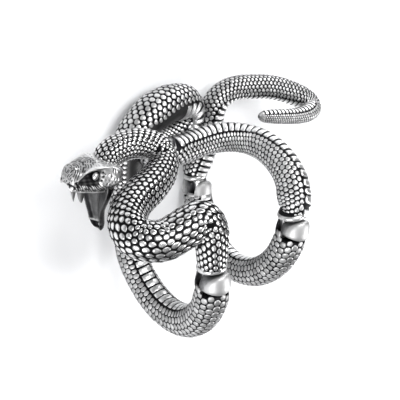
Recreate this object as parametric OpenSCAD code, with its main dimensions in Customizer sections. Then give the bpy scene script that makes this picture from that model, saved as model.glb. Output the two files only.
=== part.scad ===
// A full-finger ring in the form of one snake, with two lower loops that hinge under the finger.
// It lies on its far side: X runs along the finger towards the tail, Y is the back of the finger,
// and Z points up to the near side. Lengths are in millimetres.

/* [Loops] */
// Half the distance between the front loop's two hinges
front_half_span = 10.8; // [10.4:0.1:11.2]
// Half the distance between the rear loop's two hinges
rear_half_span = 11.6; // [11.4:0.1:11.7]
// Distance along the finger between the two hinge lines
loop_gap = 16.2; // [15.8:0.1:16.6]
// Depth of the front loop's centreline below its hinge line
front_depth = 10.3; // [10:0.1:11.2]
// Depth of the rear loop's centreline below its hinge line
rear_depth = 10.3; // [10:0.1:11.2]
// Lean of the rear loop towards the head, in degrees
rear_lean = 11; // [6:0.5:14]

/* [Hinges] */
// Radius of each hinge pin
pin_r = 0.45; // [0.4:0.05:0.5]
// Radial clearance of the pin in the hinge tongue
pin_play = 0.05; // [0.03:0.01:0.08]
// Radial clearance of the pin in the two ears
seat_play = 0.02; // [0.01:0.01:0.03]
// Thickness of the hinge tongue
tongue_t = 1; // [0.9:0.05:1.1]
// Side clearance of the tongue between its two ears
tongue_play = 0.1; // [0.08:0.01:0.12]
// Distance from a leg's middle inwards to the middle of its tongue
tongue_inset = 1.1; // [0.9:0.05:1.2]
// Radius of the tongue's round end
tongue_r = 1.05; // [1:0.05:1.1]
// Radius of the rounded ears about the pin
ear_r = 2.46; // [2.3:0.02:2.5]
// Rounding of the smooth ears' outer edges
ear_round = 1.1; // [0.8:0.1:1.3]
// Height of the collar's lower lip above the pin
lip_height = 2.6; // [2.6:0.05:2.8]

/* [Head] */
// Angle by which the skull is thrown back, in degrees
head_pitch = 22; // [15:1:28]
// Angle by which the skull leans towards the near side, in degrees
head_roll = 10; // [4:1:14]
// Radius of each eye
eye_r = 0.6; // [0.5:0.05:0.7]
// How far the snout's top leans over its lip, per millimetre of height and of length
snout_slant = 0.02; // [0:0.01:0.06]
// Angle by which the lower jaw leans against the skull, in degrees
jaw_roll = 6; // [0:1:8]
// Length of the far fang below the palate
far_fang = 3.3; // [2:0.1:3.6]
// Length of the near fang below the palate
near_fang = 2.4; // [2:0.1:3.6]

/* [Surface] */
// Sides of the snake's round body
body_sides = 14; // [10:2:16]
// Rings between two rows of a route
ring_steps = 2; // [2:1:4]

/* [Hidden] */

silver = [0.62, 0.62, 0.63];
dark_silver = [0.42, 0.42, 0.43];

// Lift that puts the far side's lowest points on Z = 0, and the middle of the outline in X and Y
rest_lift = 14.05;
middle_x = 11.6;
middle_y = 2.64;

// Hinge lines, given as their places along the finger and above its axis
front_hinge = [0, -2.8];
rear_hinge = [loop_gap, -0.2];

// Middle of the head's back, between the corners of the jaws
head_place = [-7.8, 14.7, -1.5];

// Routes of the body's centreline. Each row is one section:
// along the finger, above it, towards the near side, and the body's width there.
front_coil = [
    [-0.1, 0.6, 11.0, 4.5],
    [-0.2, 2.2, 11.3, 4.8],
    [-0.1, 4.2, 11.4, 5.1],
    [0.1, 6.1, 11.2, 5.4],
    [-0.2, 7.5, 10.6, 5.8],
    [-1.2, 8.1, 10.1, 6.0],
    [-2.8, 7.8, 9.9, 6.1],
    [-5.0, 7.4, 9.8, 6.1],
    [-7.4, 7.2, 9.6, 6.1],
    [-9.4, 7.7, 9.0, 6.1],
    [-10.7, 8.4, 8.0, 5.9],
    [-11.0, 9.4, 6.8, 5.8],
    [-10.2, 10.2, 5.4, 5.8],
    [-8.8, 10.8, 4.2, 5.7],
    [-7.0, 11.2, 3.2, 5.6],
    [-5.1, 11.4, 2.4, 5.6],
    [-2.9, 11.5, 1.5, 5.5],
    [-0.4, 11.7, 0.2, 5.3],
    [1.8, 12.2, -1.2, 5.0],
    [2.9, 13.1, -2.5, 4.9],
    [2.8, 14.4, -3.4, 4.8],
    [1.5, 15.5, -3.8, 4.7],
    [-0.9, 16.5, -3.6, 4.7],
    [-3.4, 17.0, -3.2, 4.6],
    [-5.6, 17.1, -2.7, 4.5],
    [-7.1, 16.8, -2.3, 4.3],
    [-7.9, 16.1, -2.0, 4.0],
    [-8.2, 15.3, -1.7, 3.6]
];

far_coil = [
    [0.1, 0.6, -10.9, 4.6],
    [0.6, 2.2, -11.2, 5.0],
    [1.2, 4.4, -11.3, 5.4],
    [1.9, 7.1, -11.3, 5.5],
    [2.2, 10.1, -11.2, 5.6],
    [2.7, 12.7, -10.8, 5.7],
    [3.6, 14.7, -10.4, 5.7],
    [5.1, 16.2, -10.0, 5.8],
    [7.0, 17.2, -9.9, 6.2],
    [9.2, 17.7, -9.9, 6.3],
    [11.6, 17.7, -10.1, 6.2],
    [14.3, 16.9, -10.5, 5.9],
    [15.6, 15.0, -10.9, 5.4],
    [15.2, 13.1, -11.4, 5.2],
    [13.0, 12.0, -11.5, 5.0],
    [10.2, 11.5, -11.6, 4.9],
    [7.4, 11.5, -10.8, 4.9],
    [5.4, 11.8, -8.8, 4.9],
    [4.8, 12.1, -6.5, 4.9],
    [6.4, 12.2, -5.0, 4.9],
    [8.8, 12.0, -4.9, 4.8],
    [11.2, 11.9, -4.9, 4.8],
    [13.5, 11.9, -4.6, 4.8],
    [15.8, 11.9, -3.7, 4.9],
    [17.8, 11.7, -2.2, 4.9],
    [19.1, 11.3, -0.1, 4.9],
    [19.6, 10.8, 2.4, 5.0],
    [19.6, 9.9, 5.0, 5.1],
    [19.2, 8.6, 7.5, 5.2],
    [18.5, 6.9, 9.6, 5.4],
    [17.6, 5.0, 10.9, 5.5],
    [16.9, 3.8, 11.5, 5.0],
    [16.4, 2.9, 11.5, 4.4]
];

tail = [
    [16.1, 3.0, -11.7, 4.0],
    [16.5, 4.1, -11.6, 4.6],
    [17.5, 6.1, -11.4, 5.0],
    [18.6, 8.6, -11.1, 4.9],
    [19.4, 11.2, -10.6, 4.7],
    [19.9, 13.7, -10.1, 4.5],
    [21.1, 15.6, -9.7, 4.4],
    [23.1, 16.5, -9.3, 4.3],
    [25.4, 16.6, -8.8, 4.2],
    [27.7, 16.2, -8.1, 4.2],
    [30.2, 15.6, -7.3, 4.2],
    [32.6, 14.6, -6.4, 4.2],
    [34.8, 13.3, -5.3, 4.1],
    [36.3, 12.0, -4.2, 3.9],
    [36.3, 10.9, -3.0, 3.6],
    [34.2, 10.8, -2.0, 3.2],
    [31.2, 11.3, -1.6, 2.8],
    [28.3, 12.1, -1.6, 2.6],
    [25.9, 12.8, -1.8, 2.4],
    [24.1, 13.3, -2.1, 1.9],
    [23.3, 13.5, -2.3, 0.8]
];

// Vector helpers
function unit(v) = v / norm(v);
function across(v, t) = unit(v - (v * t) * t);

// A point between rows i and i + 1 of a route, on a smooth curve through all rows
function spline_row(rows, i, f) =
    let (last = len(rows) - 1,
         a = rows[max(i - 1, 0)], b = rows[i], c = rows[min(i + 1, last)], d = rows[min(i + 2, last)])
    0.5 * (2 * b + (c - a) * f + (2 * a - 5 * b + 4 * c - d) * f * f
           + (3 * b - a - 3 * c + d) * f * f * f);

function spline(rows, steps) =
    [for (i = [0 : len(rows) - 2], k = [0 : steps - 1]) spline_row(rows, i, k / steps),
     rows[len(rows) - 1]];

function place(row) = [row[0], row[1], row[2]];

function tangents(path) =
    let (last = len(path) - 1)
    [for (i = [0 : last]) unit(place(path[min(i + 1, last)]) - place(path[max(i - 1, 0)]))];

// Side vectors carried along the path without twist
function sides(tangent, start) =
    [for (i = 0, s = across(start, tangent[0]);
          i < len(tangent);
          i = i + 1, s = i < len(tangent) ? across(s, tangent[i]) : s) s];

// A closed tube through the rows of a path, with a flat end at each end
module tube(path, count, start) {
    tangent = tangents(path);
    side = sides(tangent, start);
    rings = len(path);
    points = [for (i = [0 : rings - 1], k = [0 : count - 1])
        let (up = cross(tangent[i], side[i]), r = path[i][3] / 2, a = 360 * k / count)
        place(path[i]) + r * cos(a) * side[i] + r * sin(a) * up];
    skin_mesh(points, rings, count);
}

// A closed mesh over rings of points that all have the same count
module skin_mesh(points, rings, count) {
    skin = [for (i = [0 : rings - 2], k = [0 : count - 1], half = [0, 1])
        let (a = i * count + k, b = i * count + (k + 1) % count)
        half == 0 ? [a, b, b + count] : [a, b + count, a + count]];
    caps = [[for (k = [count - 1 : -1 : 0]) k],
            [for (k = [0 : count - 1]) (rings - 1) * count + k]];
    polyhedron(points = points, faces = concat([for (f = skin) [f[2], f[1], f[0]]],
                                               [for (c = caps) [for (j = [len(c) - 1 : -1 : 0]) c[j]]]),
               convexity = 8);
}

module body(rows) {
    tube(spline(rows, ring_steps), body_sides, [0, 0, 1]);
}

// Skull sections, from its back to the snout. Each row is: distance forward, half width,
// half width at the brow, and the heights of the crown, the brow, the lip and the palate.
skull_rows = [
    [-1.0, 2.0, 1.8, 1.6, 1.2, -0.2, 0.2],
    [0.0, 3.2, 2.5, 2.0, 1.5, -0.4, 0.1],
    [1.0, 3.4, 2.6, 2.1, 1.7, -1.0, -0.5],
    [2.2, 3.2, 2.6, 2.1, 1.75, -1.8, -1.1],
    [3.5, 2.9, 2.5, 2.0, 1.65, -2.1, -1.4],
    [4.7, 2.5, 2.2, 1.9, 1.3, -2.3, -1.6],
    [5.9, 2.15, 1.85, 1.75, 0.9, -2.5, -1.9],
    [6.8, 1.8, 1.55, 1.5, 0.6, -2.5, -2.0],
    [7.2, 1.5, 1.25, 1.0, 0.2, -2.4, -2.0],
    [7.45, 0.9, 0.8, 0.3, -0.4, -1.8, -1.6]
];

// Half of a skull section, from the palate's middle round to the crown
function skull_half(row) =
    let (w = row[1], brow_w = row[2], top = row[3], brow = row[4], lip = row[5], roof = row[6])
    [[0.6 * w, roof - 0.1], [0.84 * w, lip], [0.95 * w, lip + 0.3],
     [w, (lip + brow) / 2 - 0.2], [brow_w, brow], [brow_w / 2, top - 0.1]];

function skull_ring(row) =
    let (half = skull_half(row))
    concat([[0, row[6]]], half, [[0, row[3]]],
           [for (i = [len(half) - 1 : -1 : 0]) [-half[i][0], half[i][1]]]);

module skull() {
    count = len(skull_ring(skull_rows[0]));
    points = [for (row = skull_rows) for (p = skull_ring(row))
        [-row[0] * (1 + snout_slant * p[1]), p[1], p[0]]];
    skin_mesh(points, len(skull_rows), count);
}

// Lower jaw sections, from its root to its tip. Each row is: distance forward of the skull's
// origin, height, half width.
jaw_rows = [
    [0.9, 0.6, 1.9],
    [1.3, -0.6, 2.5],
    [1.7, -2.4, 2.8],
    [1.4, -4.0, 2.5],
    [0.9, -5.4, 2.0],
    [0.3, -6.8, 1.6],
    [-0.2, -8.0, 1.3],
    [-0.5, -8.7, 0.9]
];

// A trough: the outside round to the other rim, and back along the mouth's floor
function jaw_ring(w) = [
    [-w, 0.5], [-0.9 * w, -0.3], [-0.5 * w, -0.9], [0, -1.1], [0.5 * w, -0.9], [0.9 * w, -0.3],
    [w, 0.5], [0.75 * w, 0.45], [0.5 * w, -0.1], [0, -0.35], [-0.5 * w, -0.1], [-0.75 * w, 0.45]];

module lower_jaw() {
    count = len(jaw_ring(1));
    points = [for (row = jaw_rows) for (p = jaw_ring(row[2])) [-row[0] - p[1], row[1], p[0]]];
    skin_mesh(points, len(jaw_rows), count);
}

module fang(length) {
    rotate([90, 0, 0]) cylinder(r1 = 0.5, r2 = 0.08, h = length + 0.6, $fn = 32);
}

module head() {
    translate(head_place) rotate([0, 0, -head_pitch]) rotate([head_roll, 0, 0]) {
        skull();
        rotate([-jaw_roll, 0, 0]) lower_jaw();
        for (side = [-1, 1]) {
            translate([-4.8, -1.2, side * 0.9]) rotate([0, 0, 10]) fang(side < 0 ? far_fang : near_fang);
            translate([-4.1, 0.35, side * 2.35]) rotate([90, 0, 0]) sphere(r = eye_r, $fn = 32);
        }
    }
}

// Puts a shape made about a pin, with its outer side towards +Z, at one end of a hinge line
module at_hinge(hinge, half_span, side) {
    translate([hinge[0], hinge[1], side * half_span]) mirror([0, 0, side < 0 ? 1 : 0]) children();
}

// Collar, tongue and pin bore at the end of one leg of the casting
module leg_end(width) {
    lip = 0.4;
    translate([0, lip_height, 0]) rotate([-90, 0, 0]) rotate_extrude($fn = 64) {
        square([width / 2 - lip, 1.3]);
        translate([width / 2 - lip, lip]) circle(r = lip, $fn = 32);
        translate([0, lip]) square([width / 2, 0.9]);
    }
    translate([0, 0, -tongue_inset]) difference() {
        union() {
            translate([-tongue_r, 0, -tongue_t / 2]) cube([2 * tongue_r, lip_height + 0.6, tongue_t]);
            translate([0, 0, -tongue_t / 2]) cylinder(r = tongue_r, h = tongue_t, $fn = 48);
        }
        translate([0, 0, -2]) cylinder(r = pin_r + pin_play, h = 4, $fn = 48);
    }
}

module snake() {
    color(silver) {
        body(front_coil);
        body(far_coil);
        body(tail);
        head();
        at_hinge(front_hinge, front_half_span, 1) leg_end(4.7);
        at_hinge(front_hinge, front_half_span, -1) leg_end(4.7);
        at_hinge(rear_hinge, rear_half_span, 1) leg_end(4.6);
        at_hinge(rear_hinge, rear_half_span, -1) leg_end(4.2);
    }
}

// Shank route: the lower part of an ellipse, from just under one pin to just under the other.
// The widths are those at the near side, the bottom and the far side.
shoulder = 2.4;
function shank_path(half_span, depth, widths) =
    let (deep = depth + shoulder, start = asin((shoulder + 0.4) / deep), steps = 32)
    [for (i = [0 : steps])
        let (f = i / steps, a = start + (180 - 2 * start) * f,
             w = f < 0.5 ? widths[0] + (widths[1] - widths[0]) * 2 * f
                         : widths[1] + (widths[2] - widths[1]) * (2 * f - 1),
             taper = max(0, abs(2 * f - 1) - 0.88) / 0.12)
        [0, shoulder - deep * sin(a), half_span * cos(a), w * (1 - 0.08 * taper)]];

// Smooth ears about the pin, before the slot is cut between them
module knuckle(width) {
    r = width / 2 - 0.1;
    low = 1.3;
    intersection() {
        translate([0, 0, -r - 1]) cylinder(r = ear_r, h = 2 * r + 2, $fn = 64);
        rotate([-90, 0, 0]) rotate_extrude($fn = 64) {
            translate([0, -low]) square([r - ear_round, low + ear_r + 1]);
            translate([0, ear_round - low]) square([r, low + ear_r - 2 * ear_round]);
            translate([r - ear_round, ear_r - ear_round]) circle(r = ear_round, $fn = 48);
            translate([r - ear_round, ear_round - low]) circle(r = ear_round, $fn = 48);
        }
    }
}

// The tongue's slot, which opens towards both sides as it rises, and the pin's seat
module seat_cut(width) {
    slot = tongue_t + 2 * tongue_play;
    floor_r = tongue_r + 0.12;
    translate([0, 0, -tongue_inset - slot / 2]) linear_extrude(slot) {
        circle(r = floor_r, $fn = 64);
        polygon([[-4, 1.2], [-floor_r, -0.3], [floor_r, -0.3], [4, 1.2], [4, 6], [-4, 6]]);
    }
    translate([0, 0, -4]) cylinder(r = pin_r + seat_play, h = 4 + width / 2 - 0.9, $fn = 48);
}

module shank(half_span, depth, widths) {
    ends = [[1, widths[0]], [-1, widths[2]]];
    difference() {
        union() {
            tube(shank_path(half_span, depth, widths), body_sides, [1, 0, 0]);
            for (end = ends) at_hinge([0, 0], half_span, end[0]) knuckle(end[1]);
        }
        for (end = ends) at_hinge([0, 0], half_span, end[0]) seat_cut(end[1]);
    }
}

front_widths = [5.4, 5.2, 4.8];
rear_widths = [5.2, 4.7, 5.1];

module front_shank() {
    color(dark_silver) translate([front_hinge[0], front_hinge[1], 0])
        shank(front_half_span, front_depth, front_widths);
}

module rear_shank() {
    color(dark_silver) translate([rear_hinge[0], rear_hinge[1], 0]) rotate([0, 0, -rear_lean])
        shank(rear_half_span, rear_depth, rear_widths);
}

// Pin from the inner ear's face to just short of the end of its seat in the outer ear
module pin(width) {
    color(silver) translate([0, 0, 0.3 - width / 2]) cylinder(r = pin_r, h = width - 1.3, $fn = 48);
}

// Moves the ring from the finger's own axes to where it lies: middled in X and Y, on Z = 0
module lay_down() {
    translate([-middle_x, -middle_y, rest_lift]) children();
}

lay_down() snake();
lay_down() front_shank();
lay_down() rear_shank();
lay_down() at_hinge(front_hinge, front_half_span, 1) pin(front_widths[0]);  // front_near_pin
lay_down() at_hinge(front_hinge, front_half_span, -1) pin(front_widths[2]);  // front_far_pin
lay_down() at_hinge(rear_hinge, rear_half_span, 1) pin(rear_widths[0]);  // rear_near_pin
lay_down() at_hinge(rear_hinge, rear_half_span, -1) pin(rear_widths[2]);  // rear_far_pin
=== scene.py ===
"""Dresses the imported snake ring: scales, belly plates, collars, the head, silver finishes and the studio."""

from __future__ import annotations

import logging
import math
from dataclasses import dataclass
from enum import Enum

import bpy
import numpy as np
from mathutils import Matrix


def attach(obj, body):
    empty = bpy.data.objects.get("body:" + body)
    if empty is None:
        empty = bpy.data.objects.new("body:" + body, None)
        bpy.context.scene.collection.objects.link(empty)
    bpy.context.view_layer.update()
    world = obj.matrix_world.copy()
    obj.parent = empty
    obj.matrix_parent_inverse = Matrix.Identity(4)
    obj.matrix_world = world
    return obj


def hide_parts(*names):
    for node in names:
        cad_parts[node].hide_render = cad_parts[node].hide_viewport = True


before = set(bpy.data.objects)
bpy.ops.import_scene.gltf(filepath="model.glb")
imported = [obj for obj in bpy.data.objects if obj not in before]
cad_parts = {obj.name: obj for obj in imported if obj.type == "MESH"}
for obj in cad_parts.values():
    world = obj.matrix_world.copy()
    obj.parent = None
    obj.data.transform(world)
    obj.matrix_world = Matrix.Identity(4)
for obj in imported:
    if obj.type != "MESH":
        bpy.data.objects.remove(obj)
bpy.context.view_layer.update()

LOG = logging.getLogger("snake_ring")

Array = np.ndarray
Thing = bpy.types.Object
Silver = bpy.types.Material
Triple = tuple[float, float, float]

MM = 0.001
# From the finger's own axes (along it, above it, towards the near side) to the row frame, in millimetres
LAID = np.array((-11.6, -2.64, 14.05))

# Routes of the body's centreline, the same as in the part's source. Each row is one section:
# along the finger, above it, towards the near side, and the body's width there.
FRONT_COIL_ROWS = (
    (-0.1, 0.6, 11.0, 4.5), (-0.2, 2.2, 11.3, 4.8), (-0.1, 4.2, 11.4, 5.1), (0.1, 6.1, 11.2, 5.4),
    (-0.2, 7.5, 10.6, 5.8), (-1.2, 8.1, 10.1, 6.0), (-2.8, 7.8, 9.9, 6.1), (-5.0, 7.4, 9.8, 6.1),
    (-7.4, 7.2, 9.6, 6.1), (-9.4, 7.7, 9.0, 6.1), (-10.7, 8.4, 8.0, 5.9), (-11.0, 9.4, 6.8, 5.8),
    (-10.2, 10.2, 5.4, 5.8), (-8.8, 10.8, 4.2, 5.7), (-7.0, 11.2, 3.2, 5.6), (-5.1, 11.4, 2.4, 5.6),
    (-2.9, 11.5, 1.5, 5.5), (-0.4, 11.7, 0.2, 5.3), (1.8, 12.2, -1.2, 5.0), (2.9, 13.1, -2.5, 4.9),
    (2.8, 14.4, -3.4, 4.8), (1.5, 15.5, -3.8, 4.7), (-0.9, 16.5, -3.6, 4.7), (-3.4, 17.0, -3.2, 4.6),
    (-5.6, 17.1, -2.7, 4.5), (-7.1, 16.8, -2.3, 4.3), (-7.9, 16.1, -2.0, 4.0), (-8.2, 15.3, -1.7, 3.6),
)
FAR_COIL_ROWS = (
    (0.1, 0.6, -10.9, 4.6), (0.6, 2.2, -11.2, 5.0), (1.2, 4.4, -11.3, 5.4), (1.9, 7.1, -11.3, 5.5),
    (2.2, 10.1, -11.2, 5.6), (2.7, 12.7, -10.8, 5.7), (3.6, 14.7, -10.4, 5.7), (5.1, 16.2, -10.0, 5.8),
    (7.0, 17.2, -9.9, 6.2), (9.2, 17.7, -9.9, 6.3), (11.6, 17.7, -10.1, 6.2), (14.3, 16.9, -10.5, 5.9),
    (15.6, 15.0, -10.9, 5.4), (15.2, 13.1, -11.4, 5.2), (13.0, 12.0, -11.5, 5.0), (10.2, 11.5, -11.6, 4.9),
    (7.4, 11.5, -10.8, 4.9), (5.4, 11.8, -8.8, 4.9), (4.8, 12.1, -6.5, 4.9), (6.4, 12.2, -5.0, 4.9),
    (8.8, 12.0, -4.9, 4.8), (11.2, 11.9, -4.9, 4.8), (13.5, 11.9, -4.6, 4.8), (15.8, 11.9, -3.7, 4.9),
    (17.8, 11.7, -2.2, 4.9), (19.1, 11.3, -0.1, 4.9), (19.6, 10.8, 2.4, 5.0), (19.6, 9.9, 5.0, 5.1),
    (19.2, 8.6, 7.5, 5.2), (18.5, 6.9, 9.6, 5.4), (17.6, 5.0, 10.9, 5.5), (16.9, 3.8, 11.5, 5.0),
    (16.4, 2.9, 11.5, 4.4),
)
TAIL_ROWS = (
    (16.1, 3.0, -11.7, 4.0), (16.5, 4.1, -11.6, 4.6), (17.5, 6.1, -11.4, 5.0), (18.6, 8.6, -11.1, 4.9),
    (19.4, 11.2, -10.6, 4.7), (19.9, 13.7, -10.1, 4.5), (21.1, 15.6, -9.7, 4.4), (23.1, 16.5, -9.3, 4.3),
    (25.4, 16.6, -8.8, 4.2), (27.7, 16.2, -8.1, 4.2), (30.2, 15.6, -7.3, 4.2), (32.6, 14.6, -6.4, 4.2),
    (34.8, 13.3, -5.3, 4.1), (36.3, 12.0, -4.2, 3.9), (36.3, 10.9, -3.0, 3.6), (34.2, 10.8, -2.0, 3.2),
    (31.2, 11.3, -1.6, 2.8), (28.3, 12.1, -1.6, 2.6), (25.9, 12.8, -1.8, 2.4), (24.1, 13.3, -2.1, 1.9),
    (23.3, 13.5, -2.3, 0.8),
)
# The way the belly faces at some rows of each route: row, along, above, towards the near side
FRONT_COIL_BELLY = ((0, 0.3, 0.0, -1.0), (4, 0.5, -0.4, -0.8), (10, 0.6, -0.5, -0.6), (14, 0.1, -0.8, -0.4),
                    (18, 0.1, -0.8, -0.4), (20, 0.3, 0.0, -0.9), (23, 0.3, -0.5, -0.8), (27, 0.4, -0.5, -0.8))
FAR_COIL_BELLY = ((0, 0.0, 0.0, 1.0), (5, 0.1, -0.1, 1.0), (8, 0.1, -0.8, 0.6), (11, 0.2, -0.5, 0.8),
                  (13, 0.1, -0.1, 1.0), (16, -0.2, -0.9, 0.1), (18, 0.4, -0.2, 0.3), (20, 0.0, 1.0, 0.3),
                  (24, 0.1, 1.0, 0.3), (27, 0.4, 0.8, 0.5), (29, 0.6, 0.3, 0.8), (32, 0.6, 0.1, 0.8))
TAIL_BELLY = ((0, 0.0, 0.0, 1.0), (4, 0.1, -0.1, 1.0), (8, 0.0, -1.0, 0.3), (11, -0.3, -1.0, 0.3),
              (13, -1.0, -0.2, 0.1), (15, 0.0, 1.0, 0.3), (20, 0.0, 1.0, 0.3))


def unit(vectors: Array) -> Array:
    """Returns the vectors of the last axis at length one."""
    return vectors / np.maximum(np.linalg.norm(vectors, axis=-1, keepdims=True), 1e-12)


def turns(count: int, shift: float = 0.0) -> Array:
    """Returns angles that share a full turn evenly, in radians."""
    return (np.arange(count) + shift) * 2 * math.pi / count


def smooth_step(low: Array | float, high: Array | float, value: Array) -> Array:
    """Returns 0 below low and 1 above high, with a smooth run between them."""
    t = np.clip((value - low) / (high - low), 0.0, 1.0)
    return t * t * (3.0 - 2.0 * t)


def within(value: Array, *edges: Array | float) -> Array:
    """Returns 1 between the second and third edge and 0 outside the first and fourth, smooth between."""
    return smooth_step(edges[0], edges[1], value) * smooth_step(edges[3], edges[2], value)


def rolled(degrees: float) -> Array:
    """Returns the matrix of a turn about the first axis."""
    c, s = math.cos(math.radians(degrees)), math.sin(math.radians(degrees))
    return np.array(((1, 0, 0), (0, c, -s), (0, s, c)))


def spline_rows(rows: Array, steps: int, closed: bool = False) -> Array:
    """Runs a smooth curve through all rows.

    Args:
        rows: One row of numbers for each point of the curve.
        steps: Steps from one row to the next.
        closed: Whether the curve goes on from the last row to the first.

    Returns:
        The curve's rows, the given ones among them.
    """
    count = len(rows)
    spans = count if closed else count - 1
    out = []
    for i in range(spans):
        picks = [i - 1, i, i + 1, i + 2]
        a, b, c, d = (rows[k % count] if closed else rows[min(max(k, 0), count - 1)] for k in picks)
        for k in range(steps):
            f = k / steps
            out.append(0.5 * (2 * b + (c - a) * f + (2 * a - 5 * b + 4 * c - d) * f * f
                              + (3 * b - a - 3 * c + d) * f * f * f))
    if not closed:
        out.append(rows[-1])
    return np.array(out)


def skin_faces(count: int, sides: int) -> list[tuple[int, ...]]:
    """Returns the four-sided faces between rings of points, closed round each ring."""
    return [(i * sides + k, i * sides + n, (i + 1) * sides + n, (i + 1) * sides + k)
            for i in range(count - 1) for k in range(sides) for n in [(k + 1) % sides]]


def plain_object(name: str, verts: list, faces: list, **masks: Array | list) -> Thing:
    """Makes a smooth-shaded object, which isn't linked to the scene yet.

    Args:
        name: The object's name and its mesh's.
        verts: Its points.
        faces: Its faces, by the points' numbers.
        masks: A number for each point, by the attribute's name.

    Returns:
        The object.
    """
    mesh = bpy.data.meshes.new(name)
    mesh.from_pydata(verts, [], faces)
    for key, values in masks.items():
        mesh.attributes.new(key, "FLOAT", "POINT").data.foreach_set("value", values)
    mesh.polygons.foreach_set("use_smooth", np.ones(len(mesh.polygons), bool))
    mesh.update()
    return bpy.data.objects.new(name, mesh)


def add_to_scene(thing: Thing) -> Thing:
    """Links an object to the scene and returns it."""
    bpy.context.scene.collection.objects.link(thing)
    return thing


def dress(piece: Thing, finish: Silver, body: str) -> Thing:
    """Gives a piece its finish and its slot, and lets it ride.

    Args:
        piece: The piece.
        finish: Its material.
        body: The moving body that it rides on.

    Returns:
        The piece.
    """
    if not piece.data.materials:
        piece.data.materials.append(finish)
    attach(piece, body)
    return piece


class Shell:
    """Collects the vertices, faces and masks of one mesh, in millimetres of the row frame."""

    # The tone of a form that isn't laid scale by scale
    PLAIN_TONE = 0.5

    def __init__(self) -> None:
        """Starts an empty shell."""
        self.verts: list[Array] = []
        self.faces: list[tuple[int, ...]] = []
        self.rise: list[Array] = []
        self.count = 0

    def add(self, verts: Array, faces: list[tuple[int, ...]], rise: Array | float) -> None:
        """Adds one closed form.

        Args:
            verts: Its points.
            faces: Its faces, by the points' numbers.
            rise: How far each point stands out of the dark grooves, 0 to 1.
        """
        self.verts.append(verts)
        self.faces.extend(tuple(self.count + i for i in face) for face in faces)
        self.rise.append(np.broadcast_to(np.asarray(rise, float), (len(verts),)))
        self.count += len(verts)

    def add_rings(self, rings: Array, rise: Array | float) -> None:
        """Adds a skin over rings of points, closed round each ring and with both ends shut.

        Args:
            rings: Points as [ring, point round it, 3].
            rise: One number for all, or one for each point as [ring, point round it].
        """
        count, sides = rings.shape[:2]
        first, last, end = count * sides, count * sides + 1, (count - 1) * sides
        faces = skin_faces(count, sides)
        for k in range(sides):
            n = (k + 1) % sides
            faces += [(first, n, k), (last, end + k, end + n)]
        flat_rise = np.broadcast_to(np.asarray(rise, float), (count, sides)).reshape(-1)
        middles = np.array([rings[0].mean(0), rings[-1].mean(0)])
        self.add(np.vstack([rings.reshape(-1, 3), middles]), faces,
                 np.concatenate([flat_rise, [flat_rise[:sides].mean(), flat_rise[-sides:].mean()]]))

    def build(self, name: str) -> Thing:
        """Makes the Blender object.

        Args:
            name: The object's name.

        Returns:
            A smooth-shaded object at the origin, with the attributes rise and tone.
        """
        verts = np.vstack(self.verts) * MM
        return add_to_scene(plain_object(name, verts.tolist(), self.faces, rise=np.concatenate(self.rise),
                                         tone=np.full(len(verts), self.PLAIN_TONE)))

    @classmethod
    def of_rings(cls, name: str, *forms: tuple) -> Thing:
        """Makes an object from skins over rings.

        Args:
            name: The object's name.
            forms: The rings of each skin and their rise.

        Returns:
            The object.
        """
        shell = cls()
        for rings, rise in forms:
            shell.add_rings(rings, rise)
        return shell.build(name)


@dataclass
class Station:
    """Frames along a route: places, directions and radii, one row each."""

    point: Array
    tangent: Array
    belly: Array
    side: Array
    radius: Array

    def outward(self, angle: Array) -> Array:
        """Returns the direction at an angle from the belly, in radians, for each station."""
        return np.cos(angle)[..., None] * self.belly + np.sin(angle)[..., None] * self.side

    def skin(self, angle: Array | float = 0.0, sink: float = 0.0) -> Array:
        """Returns the points at an angle from the belly, sink millimetres under the full radius."""
        return self.point + (self.radius - sink)[:, None] * self.outward(angle)


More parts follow.
